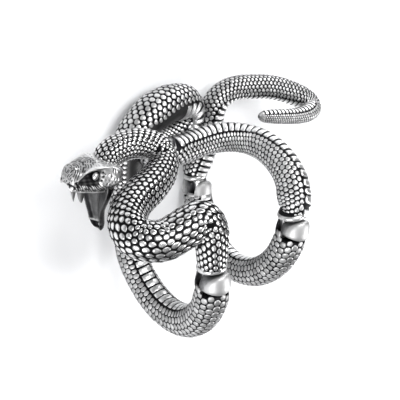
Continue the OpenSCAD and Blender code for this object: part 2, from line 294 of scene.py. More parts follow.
class Route:
    """A smooth path through rows of place and width, which knows where the belly is."""

    def __init__(self, rows: tuple | list, belly: tuple | list, fine: int = 16) -> None:
        """Works out the path.

        Args:
            rows: Along the finger, above it, towards the near side, and width, in millimetres.
            belly: Row number and direction, for some of the rows.
            fine: Steps from one row to the next.
        """
        dense = spline_rows(np.asarray(rows, float), fine)
        self.point = dense[:, :3] + LAID
        self.radius = dense[:, 3] / 2
        self.tangent = unit(np.gradient(self.point, axis=0))
        reach = np.maximum(np.linalg.norm(np.gradient(self.point, axis=0), axis=1), 1e-6)
        self.bend = np.linalg.norm(np.gradient(self.tangent, axis=0), axis=1) / reach
        keys = np.asarray(belly, float)
        number = np.arange(len(dense)) / fine
        facing = np.stack([np.interp(number, keys[:, 0], keys[:, k]) for k in (1, 2, 3)], axis=1)
        facing -= (facing * self.tangent).sum(1, keepdims=True) * self.tangent
        self.belly = unit(facing)
        self.arc = np.concatenate([[0.0], np.cumsum(np.linalg.norm(np.diff(self.point, axis=0), axis=1))])
        self.fine = fine

    @property
    def length(self) -> float:
        """Returns the path's length in millimetres."""
        return float(self.arc[-1])

    def arc_of(self, row: float) -> float:
        """Returns the distance along the path at which a row of the table lies."""
        return float(np.interp(row * self.fine, np.arange(len(self.arc)), self.arc))

    def at(self, arc: Array) -> Station:
        """Works out frames along the path.

        Args:
            arc: Distances along it.

        Returns:
            The frames there.
        """
        def pick(values: Array) -> Array:
            """Returns vectors at the asked distances."""
            return np.stack([np.interp(arc, self.arc, values[:, k]) for k in range(3)], axis=-1)

        tangent = unit(pick(self.tangent))
        belly = pick(self.belly)
        belly = unit(belly - (belly * tangent).sum(-1, keepdims=True) * tangent)
        return Station(pick(self.point), tangent, belly, np.cross(tangent, belly),
                       np.interp(arc, self.arc, self.radius))

    def buried(self, points: Array) -> Array:
        """Returns how deep each point lies inside the body, in millimetres, 0 on its skin."""
        gap = np.linalg.norm(points[:, None] - self.point[None, ::4], axis=2) - self.radius[None, ::4]
        return -gap.min(1)

    def tube(self, start: float, stop: float, step: float, sides: int,
             sink: float | Array) -> Array:
        """Works out rings of points round the path, from the belly round.

        Args:
            start: Distance along it of the first ring.
            stop: Distance along it of the last ring.
            step: Distance from ring to ring.
            sides: Points in each ring.
            sink: How far they lie under the full radius, one number or one for each point of a ring.

        Returns:
            Points as [ring, point round it, 3].
        """
        station = self.at(np.linspace(start, stop, max(int((stop - start) / step), 2) + 1))
        turn = turns(sides)
        outward = (np.cos(turn)[None, :, None] * station.belly[:, None]
                   + np.sin(turn)[None, :, None] * station.side[:, None])
        reach = np.maximum(station.radius[:, None] - np.broadcast_to(sink, sides), 0.2)
        return station.point[:, None] + reach[..., None] * outward


@dataclass
class PointField:
    """Points that a seed shape is laid on, with its directions and size at each."""

    place: Array
    out: Array
    along: Array
    cell: Array


class SeedShape(Enum):
    """The shapes that are repeated over the body."""

    PEBBLE = "pebble"
    COBBLE = "cobble"
    PLATE = "plate"


class SeedMaker:
    """Makes the small meshes that the scatter tree repeats."""

    # Share of the outline, height and rise, from the rim to the top
    PEBBLE_PROFILE = ((1.0, -0.7, 0.0), (0.97, 0.2, 0.12), (0.86, 0.6, 0.5), (0.64, 0.87, 0.92),
                      (0.34, 0.98, 1.0))
    COBBLE_PROFILE = ((1.0, -0.7, 0.0), (0.97, 0.35, 0.3), (0.86, 0.82, 0.85), (0.6, 0.97, 1.0))
    # Place along the body, distance from its axis and rise, over a plate from edge to edge
    PLATE_PROFILE = ((-0.5, 0.88, 0.0), (-0.43, 0.955, 0.35), (-0.3, 0.99, 0.9), (0.0, 1.005, 1.0),
                     (0.28, 1.0, 0.9), (0.42, 0.965, 0.35), (0.5, 0.88, 0.0))

    @classmethod
    def make(cls, shape: SeedShape, belly_half: float = 0.7) -> Thing:
        """Makes one seed.

        Args:
            shape: Which shape.
            belly_half: Half the angle that a belly plate spans, in radians.

        Returns:
            Its object, one unit in size, with the attribute rise.
        """
        if shape is SeedShape.PLATE:
            return cls._plate(belly_half)
        if shape is SeedShape.PEBBLE:
            return cls._dome("seed_pebble", cls.PEBBLE_PROFILE, 12, 1.86, 0.3)
        return cls._dome("seed_cobble", cls.COBBLE_PROFILE, 12, 2.7, 0.05)

    @staticmethod
    def _dome(name: str, profile: tuple, sides: int, power: float, taper: float) -> Thing:
        """Makes a rounded scale, a little wider at its free end.

        Args:
            name: The object's name.
            profile: Share of the outline, height and rise, from the rim to the top.
            sides: Sides of the outline.
            power: How square the outline is, 2 for an ellipse.
            taper: How much narrower the covered end is.

        Returns:
            The scale.
        """
        tilt, top_height = 0.22, 1.02
        verts, rise = [], []
        for share, height, lift in profile:
            for turn in turns(sides, 0.5):
                c, s = math.cos(turn), math.sin(turn)
                size = (abs(c) ** power + abs(s) ** power) ** (-1 / power)
                x = size * c * share
                verts.append((x, size * s * share * (1 - taper * x), height + tilt * x * max(height, 0)))
                rise.append(lift)
        top, ring = len(verts), len(verts) - sides
        faces = skin_faces(len(profile), sides)
        faces += [(ring + k, ring + (k + 1) % sides, top) for k in range(sides)]
        return plain_object(name, verts + [(0.0, 0.0, top_height)], faces, rise=rise + [1.0])

    @classmethod
    def _plate(cls, half: float) -> Thing:
        """Makes a belly plate, a bar bent round the body's axis, with soft edges.

        Args:
            half: Half the angle that it spans, in radians.

        Returns:
            The plate.
        """
        steps, width = 12, len(cls.PLATE_PROFILE)
        verts, rise = [], []
        for j in range(steps + 1):
            turn = half * (2 * j / steps - 1)
            fade = max(0.0, abs(2 * j / steps - 1) - 0.8) / 0.2
            for x, height, lift in cls.PLATE_PROFILE:
                r = height - 0.09 * fade ** 2
                verts.append((x * (1 - 0.18 * fade), r * math.sin(turn), r * math.cos(turn)))
                rise.append(lift * (1 - fade))
        faces = [(a, a + 1, a + width + 1, a + width)
                 for j in range(steps) for a in range(j * width, (j + 1) * width - 1)]
        return plain_object("seed_plate", verts, faces, rise=rise)


class NodeKit:
    """Adds, sets and links the nodes of one tree."""

    def __init__(self, tree: bpy.types.NodeTree) -> None:
        """Starts on a tree."""
        self.tree = tree

    def sockets(self, in_out: str, rows: tuple) -> dict[str, str]:
        """Adds sockets to a group's interface.

        Args:
            in_out: INPUT or OUTPUT.
            rows: Each one's label and kind.

        Returns:
            Their inner names by label.
        """
        new = self.tree.interface.new_socket
        return {label: new(label, in_out=in_out, socket_type="NodeSocket" + kind).identifier
                for label, kind in rows}

    def find(self, kind: str) -> bpy.types.Node:
        """Returns the tree's node of a type."""
        return next(n for n in self.tree.nodes if n.type == kind)

    def node(self, kind: str, ins: dict | None = None, **settings: object) -> bpy.types.Node:
        """Adds a node.

        Args:
            kind: Its type.
            ins: Sockets or plain values for its inputs, by name or number.
            settings: Its own properties.

        Returns:
            The node.
        """
        node = self.tree.nodes.new(kind)
        for key, value in settings.items():
            setattr(node, key, value)
        self.feed(node, ins or {})
        return node

    def feed(self, node: bpy.types.Node, ins: dict) -> None:
        """Sets or links a node's inputs.

        Args:
            node: The node.
            ins: Sockets or plain values, by the input's name or number.
        """
        for key, value in ins.items():
            named = (s for s in node.inputs if s.enabled and s.name == key)
            socket = node.inputs[key] if isinstance(key, int) else next(named)
            if isinstance(value, bpy.types.NodeSocket):
                self.tree.links.new(value, socket)
            else:
                socket.default_value = value

    def math(self, operation: str, *values: object) -> bpy.types.NodeSocket:
        """Returns the result of a math node over numbers or sockets."""
        return self.node("ShaderNodeMath", dict(enumerate(values)), operation=operation).outputs[0]


class ScatterTree:
    """A geometry node tree that lays a seed shape on every point of a mesh, as one plain mesh."""

    INPUTS = (("Geometry", "Geometry"), ("Seed Shape", "Object"), ("Length Share", "Float"),
              ("Width Share", "Float"), ("Height Share", "Float"), ("Unevenness", "Float"),
              ("Seed", "Int"), ("Finish", "Material"))
    # What the tone's seed lies above the size's
    TONE_SEED_STEP = 11.0

    def __init__(self) -> None:
        """Builds the tree once."""
        self.kit = NodeKit(bpy.data.node_groups.new("lay_scales", "GeometryNodeTree"))
        self.names = self.kit.sockets("INPUT", self.INPUTS)
        self.kit.sockets("OUTPUT", self.INPUTS[:1])
        self._wire()

    def _attribute(self, name: str) -> bpy.types.NodeSocket:
        """Returns the output of a named vector attribute."""
        node = self.kit.node("GeometryNodeInputNamedAttribute", {"Name": name}, data_type="FLOAT_VECTOR")
        return next(s for s in node.outputs if s.enabled and s.name == "Attribute")

    def _random(self, low: float, high: float, seed: bpy.types.NodeSocket) -> bpy.types.NodeSocket:
        """Adds a random number for each point.

        Args:
            low: The least one.
            high: The largest one.
            seed: What it depends on.

        Returns:
            The number's output.
        """
        node = self.kit.node("FunctionNodeRandomValue", {"Min": low, "Max": high, "Seed": seed},
                             data_type="FLOAT")
        return next(s for s in node.outputs if s.enabled)

    def _wire(self) -> None:
        """Places the nodes and links them."""
        node = self.kit.node
        given = node("NodeGroupInput").outputs
        seed = node("GeometryNodeObjectInfo", {"Object": given["Seed Shape"]}, transform_space="ORIGINAL")
        turn = node("FunctionNodeAxesToRotation", {0: self._attribute("out"), 1: self._attribute("along")},
                    primary_axis="Z", secondary_axis="X")
        share = node("ShaderNodeCombineXYZ", {"X": given["Length Share"], "Y": given["Width Share"],
                                              "Z": given["Height Share"]})
        sized = node("ShaderNodeVectorMath", {0: self._attribute("cell"), 1: share.outputs[0]},
                     operation="MULTIPLY")
        chance = self._random(-1.0, 1.0, given["Seed"])
        swing = self.kit.math("MULTIPLY_ADD", chance, given["Unevenness"], 1.0)
        uneven = node("ShaderNodeVectorMath", {0: sized.outputs[0], "Scale": swing}, operation="SCALE")
        lay = node("GeometryNodeInstanceOnPoints", {
            "Points": given["Geometry"], "Instance": seed.outputs["Geometry"], "Rotation": turn.outputs[0],
            "Scale": uneven.outputs[0]})
        shade = self._random(0.0, 1.0, self.kit.math("ADD", given["Seed"], self.TONE_SEED_STEP))
        tone = node("GeometryNodeStoreNamedAttribute", {
            "Geometry": lay.outputs["Instances"], "Name": "tone", "Value": shade},
            data_type="FLOAT", domain="INSTANCE")
        real = node("GeometryNodeRealizeInstances", {"Geometry": tone.outputs["Geometry"]})
        coat = node("GeometryNodeSetMaterial", {"Geometry": real.outputs["Geometry"],
                                                "Material": given["Finish"]})
        node("NodeGroupOutput", {"Geometry": coat.outputs["Geometry"]})

    def lay(self, name: str, points: PointField, seed: Thing, finish: Silver,
            shares: Triple, uneven: float, number: int) -> Thing:
        """Lays a seed shape on points and turns the result into a plain mesh.

        Args:
            name: The piece's name.
            points: Where the shapes go.
            seed: The shape.
            finish: Its material.
            shares: Length, width and height as shares of each point's cell.
            uneven: How much the sizes vary.
            number: The fixed seed of what is random.

        Returns:
            The piece, at the origin.
        """
        mesh = bpy.data.meshes.new(name + "_points")
        mesh.from_pydata((points.place * MM).tolist(), [], [])
        for key, values in (("out", points.out), ("along", points.along), ("cell", points.cell * MM)):
            mesh.attributes.new(key, "FLOAT_VECTOR", "POINT").data.foreach_set("vector", values.ravel())
        carrier = add_to_scene(bpy.data.objects.new(name + "_points", mesh))
        modifier = carrier.modifiers.new("lay_scales", "NODES")
        modifier.node_group = self.kit.tree
        for (label, _), value in zip(self.INPUTS[1:], (seed, *shares, uneven, number, finish)):
            modifier[self.names[label]] = value
        bpy.context.view_layer.update()
        graph = bpy.context.evaluated_depsgraph_get()
        plain = bpy.data.meshes.new_from_object(carrier.evaluated_get(graph), preserve_all_data_layers=True,
                                                depsgraph=graph)
        bpy.data.objects.remove(carrier)
        bpy.data.objects.remove(seed)
        bpy.data.meshes.remove(mesh)
        plain.name = name
        return add_to_scene(bpy.data.objects.new(name, plain))


@dataclass(frozen=True)
class SilverFinish:
    """One finish of the blackened silver. The rise attribute says how far a point is out of the grooves."""

    name: str
    groove: float = 0.012
    crest: float = 0.80
    low: float = 0.35
    high: float = 0.75
    rough_groove: float = 0.45
    rough_crest: float = 0.24
    blotch: float = 0.25
    dents: float = 0.12


class SilverShop:
    """Builds the wear group once and a material for each finish."""

    INPUTS = (("Place", "Vector"), ("Rise", "Float"), ("Low", "Float"), ("High", "Float"),
              ("Blotch", "Float"), ("Groove Roughness", "Float"), ("Crest Roughness", "Float"))
    OUTPUTS = (("Polish", "Float"), ("Roughness", "Float"), ("Dents", "Float"))
    # Waves per metre and detail of each noise
    STAIN_NOISE = (1300.0, 3.0)
    HAZE_NOISE = (3200.0, 2.0)
    DENT_NOISE = (2600.0, 4.0)
    # Swing of the roughness over a finish and of the brightness from scale to scale
    HAZE_SWING = 0.14
    TONE_SWING = 0.22
    # How much bluer the grooves are, and the depth of the dents in millimetres
    GROOVE_BLUE = 1.08
    DENT_DEPTH = 0.05

    def __init__(self) -> None:
        """Builds the shared group."""
        self.group = self._wear_group()

    def _wear_group(self) -> bpy.types.NodeTree:
        """Builds the group that turns rise into a polish mask, a roughness and a height of small dents."""
        tree = bpy.data.node_groups.new("polish_and_wear", "ShaderNodeTree")
        kit = NodeKit(tree)
        kit.sockets("INPUT", self.INPUTS)
        kit.sockets("OUTPUT", self.OUTPUTS)
        given = kit.node("NodeGroupInput").outputs
        stain, haze, dents = (
            kit.node("ShaderNodeTexNoise",
                     {"Vector": given["Place"], "Scale": scale, "Detail": detail}).outputs[0]
            for scale, detail in (self.STAIN_NOISE, self.HAZE_NOISE, self.DENT_NOISE))
        shifted = kit.math("MULTIPLY_ADD", kit.math("SUBTRACT", stain, 0.5), given["Blotch"], given["Rise"])
        polish = kit.node("ShaderNodeMapRange", {
            "Value": shifted, "From Min": given["Low"], "From Max": given["High"]},
            interpolation_type="SMOOTHSTEP").outputs[0]
        gap = kit.math("SUBTRACT", given["Crest Roughness"], given["Groove Roughness"])
        rough = kit.math("MULTIPLY_ADD", polish, gap, given["Groove Roughness"])
        haze = kit.math("MULTIPLY_ADD", haze, self.HAZE_SWING, -self.HAZE_SWING / 2)
        kit.node("NodeGroupOutput", {"Polish": polish, "Roughness": kit.math("ADD", rough, haze),
                                     "Dents": dents})
        return tree

    def make(self, finish: SilverFinish) -> Silver:
        """Builds the material of one finish.

        Args:
            finish: Its colours, roughness and wear.

        Returns:
            The material.
        """
        material = bpy.data.materials.new(finish.name)
        material.use_nodes = True
        kit = NodeKit(material.node_tree)
        place = kit.node("ShaderNodeTexCoord").outputs["Object"]
        rise, tone = (kit.node("ShaderNodeAttribute", attribute_name=name).outputs["Fac"]
                      for name in ("rise", "tone"))
        wear = kit.node("ShaderNodeGroup", {
            "Place": place, "Rise": rise, "Low": finish.low, "High": finish.high, "Blotch": finish.blotch,
            "Groove Roughness": finish.rough_groove, "Crest Roughness": finish.rough_crest},
            node_tree=self.group)
        bright = kit.math("MULTIPLY_ADD", tone, self.TONE_SWING, finish.crest - self.TONE_SWING / 2)
        crest = kit.node("ShaderNodeCombineColor", {"Red": bright, "Green": bright, "Blue": bright})
        groove = (finish.groove, finish.groove, finish.groove * self.GROOVE_BLUE, 1.0)
        mix = kit.node("ShaderNodeMix", {0: wear.outputs["Polish"], 6: groove, 7: crest.outputs[0]},
                       data_type="RGBA")
        bump = kit.node("ShaderNodeBump", {"Distance": self.DENT_DEPTH * MM, "Strength": finish.dents,
                                           "Height": wear.outputs["Dents"]})
        kit.feed(kit.find("BSDF_PRINCIPLED"), {
            "Metallic": 1.0, "Base Color": mix.outputs[2], "Roughness": wear.outputs["Roughness"],
            "Normal": bump.outputs[0]})
        return material


class Finishes:
    """The ring's finishes as materials, by plain names."""

    def __init__(self, shop: SilverShop) -> None:
        """Makes every material once.

        Args:
            shop: What builds them.
        """
        def silver(name: str, **looks: float) -> Silver:
            """Returns the material of one finish."""
            return shop.make(SilverFinish(name, **looks))

        scale = {"groove": 0.03, "low": 0.2, "high": 0.95, "rough_crest": 0.4}
        self.groove = silver("blackened_groove", groove=0.01, crest=0.2, low=0.4, high=0.9)
        # The coil, body, tail and shank silvers are one material, set brighter or darker region by region.
        self.coil = silver("front_coil_scale_silver", crest=0.62, low=0.45, high=1.08)
        self.body = silver("body_scale_silver", crest=0.56, **scale)
        self.tail = silver("tail_scale_silver", crest=0.48, **scale)
        self.plate = silver("belly_plate_silver", groove=0.03, crest=0.72, low=0.3, high=0.9,
                            rough_crest=0.36)
        self.shank = silver("shank_scale_silver", groove=0.03, crest=0.4, low=0.32, high=0.9,
                            rough_crest=0.42)
        # Nearly black copy of the silver for the smooth belly strips: painted shade along the coil's
        # underside.
        self.hollow = silver("painted_shade_belly_silver", groove=0.02, crest=0.06, low=0.3, high=1.0, rough_crest=0.5)
        self.polish = silver("polished_collar_silver", crest=0.55, low=0.2, high=0.8, rough_crest=0.34,
                             blotch=0.2, dents=0.06)
        self.head = silver("engraved_head_silver", crest=0.6, low=0.1, high=1.0, rough_crest=0.3, blotch=0.2)
        # Darker copy of the silver for the lower jaw and the fangs: painted shade inside the open mouth.
        self.mouth = silver("mouth_painted_shade_silver", crest=0.36, low=0.1, high=1.0, rough_crest=0.35)
        self.pin = silver("pin_silver", crest=0.55, low=-0.6, high=-0.3, rough_crest=0.25)
        self.knuckle = silver("knuckle_silver", groove=0.05, crest=0.46, low=0.0, high=0.7, rough_crest=0.52,
                              blotch=0.4)


@dataclass
class ScaleCoat:
    """How scales and belly plates lie on a route."""

    lines: int = 17
    # Row of the route, and the pitch along the body there as a multiple of the pitch across
    ratios: tuple = ((0.0, 1.2), (99.0, 1.2))
    # Shares of the pitches along and across that half a scale fills
    length_share: float = 0.48
    width_share: float = 0.56
    # How much longer a scale gets for each unit of its ratio above the plain one
    overlap: float = 0.0
    plain_ratio: float = 1.2
    # Half the belly's width in degrees, and how much less of it the plates cover
    belly_half: float = 40.0
    belly_edge: float = 3.0
    height: float = 0.2
    uneven: float = 0.06
    # Pitch of the plates on a body of the given radius, the least pitch, the most that counts as a step
    plate_pitch: float = 1.2
    plate_radius: float = 2.8
    plate_least: float = 0.8
    plate_most: float = 1.6
    # Share of the step that a plate fills, its least length, and how far inside the scales' ends they stop
    plate_share: float = 0.88
    plate_shortest: float = 0.25
    plate_inset: float = 0.3
    # Length, width and height of the seeds as shares of their cells
    scale_shares: Triple = (1.0, 1.0, 1.0)
    plate_shares: Triple = (1.0, 1.0, 1.0)
    # How much closer scales stand in a bend, and the sharpest bend that counts
    bend_share: float = 0.75
    bend_most: float = 1.2
    # Distance to each side at which the stretch of the skin is measured
    probe: float = 0.15
    # Longest and shortest scale as shares of the pitch
    longest: float = 1.3
    shortest: float = 0.3
    # How deep in another stretch of the body a scale and a plate may lie
    scale_buried: float = 0.11
    plate_buried: float = 0.3
    # Rows between which scales that a bend squeezes below this share of their pitch are left out; the black
    # core bared there is both patina and painted shade inside the bend
    tight: tuple = ()
    squeezed: float = 0.4
    # Rows between which the body is smooth all round, and those between which only the belly is
    bare: tuple = ()
    plain_belly: tuple = ()
    seed: SeedShape = SeedShape.PEBBLE
    number: int = 7

    def _ratio(self, route: Route, arcs: Array | float) -> Array:
        """Returns the pitch along as a multiple of the pitch across, at distances along the route."""
        rows, ratios = zip(*self.ratios)
        return np.interp(arcs, [route.arc_of(row) for row in rows], ratios)

    def _marks(self, route: Route, step: float, first: float, last: float) -> Array:
        """Works out where the rings of scales lie.

        Args:
            route: The body's path.
            step: The angle from line to line.
            first: Distance along the path of the first ring.
            last: Distance along it of the last ring.

        Returns:
            The rings' distances along the path.
        """
        marks = [first]
        while marks[-1] < last:
            radius, bend = (float(np.interp(marks[-1], route.arc, v)) for v in (route.radius, route.bend))
            closer = 1 + self.bend_share * min(bend * radius, self.bend_most)
            marks.append(marks[-1] + step * radius * float(self._ratio(route, marks[-1])) / closer)
        return first + (np.array(marks) - first) * (last - first) / (marks[-1] - first)

    def _line(self, route: Route, marks: Array, line: int, step: float) -> tuple[Array, ...]:
        """Works out the scales of one line.

        Args:
            route: The body's path.
            marks: The rings' distances along it.
            line: The line's number, from the belly round.
            step: The angle from line to line.

        Returns:
            The scales' places, their directions out and along, and their cells.
        """
        ring = np.arange(len(marks) - line % 2)
        arcs = np.interp(ring + 0.25 + 0.5 * (line % 2), np.arange(len(marks)), marks)
        turn = np.full(len(arcs), math.radians(self.belly_half) + (line + 0.5) * step)
        here = route.at(arcs)
        ratio = self._ratio(route, arcs)
        ahead = route.at(np.minimum(arcs + self.probe, route.length))
        behind = route.at(np.maximum(arcs - self.probe, 0))
        run = (behind.skin(turn, self.height) - ahead.point
               - (ahead.radius - self.height)[:, None] * ahead.outward(turn))
        wanted = step * here.radius * ratio
        length = np.linalg.norm(run, axis=1) / (2 * self.probe) * np.gradient(arcs)
        length = np.minimum(length, self.longest * wanted)
        # Deep inside a bend only each second, fourth or eighth scale has room
        thin = np.clip(np.floor(np.log2(wanted / np.maximum(length, 1e-3)) - 0.8), 0, 3).astype(int)
        full = length * 2.0 ** thin
        keep = (ring % (2 ** thin) == 0) & (full > self.shortest * wanted)
        keep &= route.buried(here.skin(turn)) < self.scale_buried
        for row_from, row_to in self.tight:
            inside = (arcs > route.arc_of(row_from)) & (arcs < route.arc_of(row_to))
            keep &= ~(inside & (length < self.squeezed * wanted))
        along, out = unit(run[keep]), here.outward(turn)[keep]
        # Long scales lap over the next ones
        lap = 1 + self.overlap * np.clip(ratio - self.plain_ratio, 0.0, 1.0)
        cell = np.stack([(full * lap)[keep] * self.length_share, here.radius[keep] * step * self.width_share,
                         np.full(int(keep.sum()), self.height)], axis=1)
        out = unit(out - (out * along).sum(1, keepdims=True) * along)
        return here.skin(turn, self.height)[keep], out, along, cell

    def scale_points(self, route: Route, start: float, stop: float) -> PointField:
        """Works out where the scales go.

        Args:
            route: The body's path.
            start: Distance along it of the first scale.
            stop: Distance along it of the last scale.

        Returns:
            The points, in offset lines along the body.
        """
        lines = []
        step = (2 * math.pi - 2 * math.radians(self.belly_half)) / self.lines
        edges = [start] + [route.arc_of(row) for gap in self.bare for row in gap] + [stop]
        for first, last in zip(edges[::2], edges[1::2]):
            if last > first:
                marks = self._marks(route, step, first, last)
                lines += [self._line(route, marks, line, step) for line in range(self.lines)]
        return PointField(*(np.vstack(column) for column in zip(*lines)))

    def plate_points(self, route: Route, start: float, stop: float) -> PointField:
        """Works out where the belly plates go.

        Args:
            route: The body's path.
            start: Distance along it of the first plate.
            stop: Distance along it that the last plate doesn't pass.

        Returns:
            The points, in one row along the belly.
        """
        arcs = [start]
        while arcs[-1] < stop:
            radius = float(np.interp(arcs[-1], route.arc, route.radius))
            arcs.append(arcs[-1] + max(self.plate_pitch * radius / self.plate_radius, self.plate_least))
        arcs = np.array(arcs[:-1])
        for row_from, row_to in self.bare + self.plain_belly:
            arcs = arcs[(arcs < route.arc_of(row_from)) | (arcs > route.arc_of(row_to))]
        arcs = arcs[route.buried(route.at(arcs).skin()) < self.plate_buried]
        here = route.at(arcs)
        step = np.minimum(np.gradient(arcs), self.plate_most)
        ahead = route.at(np.minimum(arcs + step / 2, route.length))
        behind = route.at(np.maximum(arcs - step / 2, 0))
        length = np.maximum(np.linalg.norm(ahead.skin() - behind.skin(), axis=1), self.plate_shortest)
        cell = np.stack([np.maximum(length, step) * self.plate_share, here.radius, here.radius], axis=1)
        return PointField(here.point, here.belly, -here.tangent, cell)

    def lay(self, tree: ScatterTree, name: str, route: Route, ends: tuple[float, float],
            finishes: tuple[Silver, Silver], body: str) -> list[Thing]:
        """Lays the scales and the belly plates on a route.

        Args:
            tree: The tree that lays them.
            name: What the pieces' names start with.
            route: The body's path.
            ends: Distances along it of the first and the last scale.
            finishes: The materials of the scales and of the plates.
            body: The moving body that they ride on.

        Returns:
            The scales and the plates.
        """
        start, stop = ends
        plate_seed_half = math.radians(self.belly_half - self.belly_edge)
        scales = tree.lay(name + "_scales", self.scale_points(route, start, stop), SeedMaker.make(self.seed),
                          finishes[0], self.scale_shares, self.uneven, self.number)
        places = self.plate_points(route, start + self.plate_inset, stop - self.plate_inset)
        plates = tree.lay(name + "_belly_plates", places, SeedMaker.make(SeedShape.PLATE, plate_seed_half),
                          finishes[1], self.plate_shares, 0.0, self.number)
        return [dress(scales, finishes[0], body), dress(plates, finishes[1], body)]


@dataclass
class BodyRun:
    """One stretch of the snake: a dark core with scales and belly plates over it."""

    name: str
    route: Route
    coat: ScaleCoat
    scale_finish: Silver
    plate_finish: Silver
    groove_finish: Silver
    smooth_finish: Silver
    start: float = 0.3
    stop_short: float = 0.5
    # How far the core lies under the full radius, its sides, the pitch of its rings, and its rise
    sink: float = 0.19
    sides: int = 28
    core_step: float = 0.35
    core_rise: float = 0.1
    # How far the smooth stretches lie under the full radius on the belly and elsewhere
    smooth_sink: float = 0.05
    side_sink: float = 0.3
    smooth_pitch: float = 0.3
    smooth_rise: float = 0.8
    # How far a smooth stretch runs on under the scales, and past the path's end at most
    smooth_lap: float = 0.4
    end_lap: float = 0.02
    replaces: tuple[str, ...] = ()

    def build(self, tree: ScatterTree, body: str) -> list[Thing]:
        """Builds the core, the scales and the plates, and lets them ride.

        Args:
            tree: The tree that lays the scales.
            body: The moving body that they ride on.

        Returns:
            The pieces.
        """
        route, coat = self.route, self.coat
        tube = route.tube(0.0, route.length, self.core_step, self.sides, self.sink)
        core = dress(Shell.of_rings(self.name + "_core", (tube, self.core_rise)), self.groove_finish, body)
        pieces = [core] + coat.lay(tree, self.name, route, (self.start, route.length - self.stop_short),
                                   (self.scale_finish, self.plate_finish), body)
        from_belly = np.abs((np.arange(self.sides) * 360 / self.sides + 180) % 360 - 180)
        strip = np.where(from_belly < coat.belly_half, self.smooth_sink, self.side_sink)
        gaps = [(gap, self.smooth_sink) for gap in coat.bare] + [(gap, strip) for gap in coat.plain_belly]
        for number, ((row_from, row_to), sink) in enumerate(gaps, 1):
            first = route.arc_of(row_from) - self.smooth_lap
            last = min(route.arc_of(row_to) + self.smooth_lap, route.length + self.end_lap)
            tube = route.tube(first, last, self.smooth_pitch, self.sides, sink)
            smooth = Shell.of_rings(f"{self.name}_smooth_belly_{number}", (tube, self.smooth_rise))
            pieces.append(dress(smooth, self.smooth_finish, body))
        if self.replaces:
            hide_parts(*self.replaces)
        return pieces


@dataclass
class HingeEnd:
    """The collar and the tongue at the end of one leg of the casting."""

    name: str
    hinge: Triple
    width: float
    lip_height: float = 2.6
    tongue_inset: float = 1.1
    tongue_r: float = 1.05
    tongue_t: float = 1.0
    # How far the tongue goes into the collar, and its rise out of the dark grooves
    tongue_root: float = 0.4
    tongue_rise: float = 0.75
    bore_r: float = 0.5
    sides: int = 48
    # Distance in from the collar's radius, height over the lip's foot and rise, up the outside
    collar_rows: tuple = ((0.55, 0.0, 0.2), (0.3, 0.03, 0.5), (0.1, 0.14, 0.9), (0.0, 0.38, 1.0),
                          (0.02, 0.62, 1.0), (0.12, 0.84, 0.8), (0.3, 0.95, 0.2), (0.36, 1.3, 0.1))
    # Radius, height and rise where the collar's two faces start at the middle
    collar_middle: tuple = ((0.6, 0.05, 0.1), (0.6, 1.35, 0.1))

    def build(self, collar_finish: Silver, body: str) -> Thing:
        """Builds the collar ring and the bored tongue as one piece.

        Args:
            collar_finish: The polished silver.
            body: The moving body that it rides on.

        Returns:
            The piece.
        """
        shell = Shell()
        base = np.array(self.hinge) + LAID
        outside = tuple((self.width / 2 - inset, y, lift) for inset, y, lift in self.collar_rows)
        profile = (self.collar_middle[0], *outside, self.collar_middle[1])
        turn = turns(self.sides)
        rings = np.stack([np.stack([r * np.cos(turn), np.full(self.sides, self.lip_height + y),
                                    -r * np.sin(turn)], axis=1) for r, y, _ in profile])
        shell.add_rings(base + rings, np.array([[lift] * self.sides for _, _, lift in profile]))
        shell.add(*self._tongue(base), self.tongue_rise)
        return dress(shell.build(self.name), collar_finish, body)

    def _tongue(self, base: Array) -> tuple[Array, list[tuple[int, ...]]]:
        """Works out the tongue, a round-ended plate with a hole for the pin.

        Args:
            base: The pin's middle in the row frame.

        Returns:
            The tongue's points and faces.
        """
        top = self.lip_height + self.tongue_root
        outer, inner = [], []
        for a in turns(self.sides):
            c, s = math.cos(a), math.sin(a)
            reach = min(self.tongue_r / max(abs(c), 1e-6), top / s) if s > 0 else self.tongue_r
            outer.append((reach * c, reach * s))
            inner.append((self.bore_r * c, self.bore_r * s))
        middle = -math.copysign(self.tongue_inset, self.hinge[2])
        verts = [(x, y, middle + shift) for shift in (-self.tongue_t / 2, self.tongue_t / 2)
                 for x, y in outer + inner]
        # First points of the outline and the hole on one face, then on the other
        o0, i0, o1, i1 = (self.sides * part for part in range(4))
        faces = []
        for k in range(self.sides):
            n = (k + 1) % self.sides
            faces += [(o0 + k, i0 + k, i0 + n, o0 + n), (o1 + k, o1 + n, i1 + n, i1 + k),
                      (o0 + k, o0 + n, o1 + n, o1 + k), (i0 + k, i1 + k, i1 + n, i0 + n)]
        return base + np.array(verts), faces


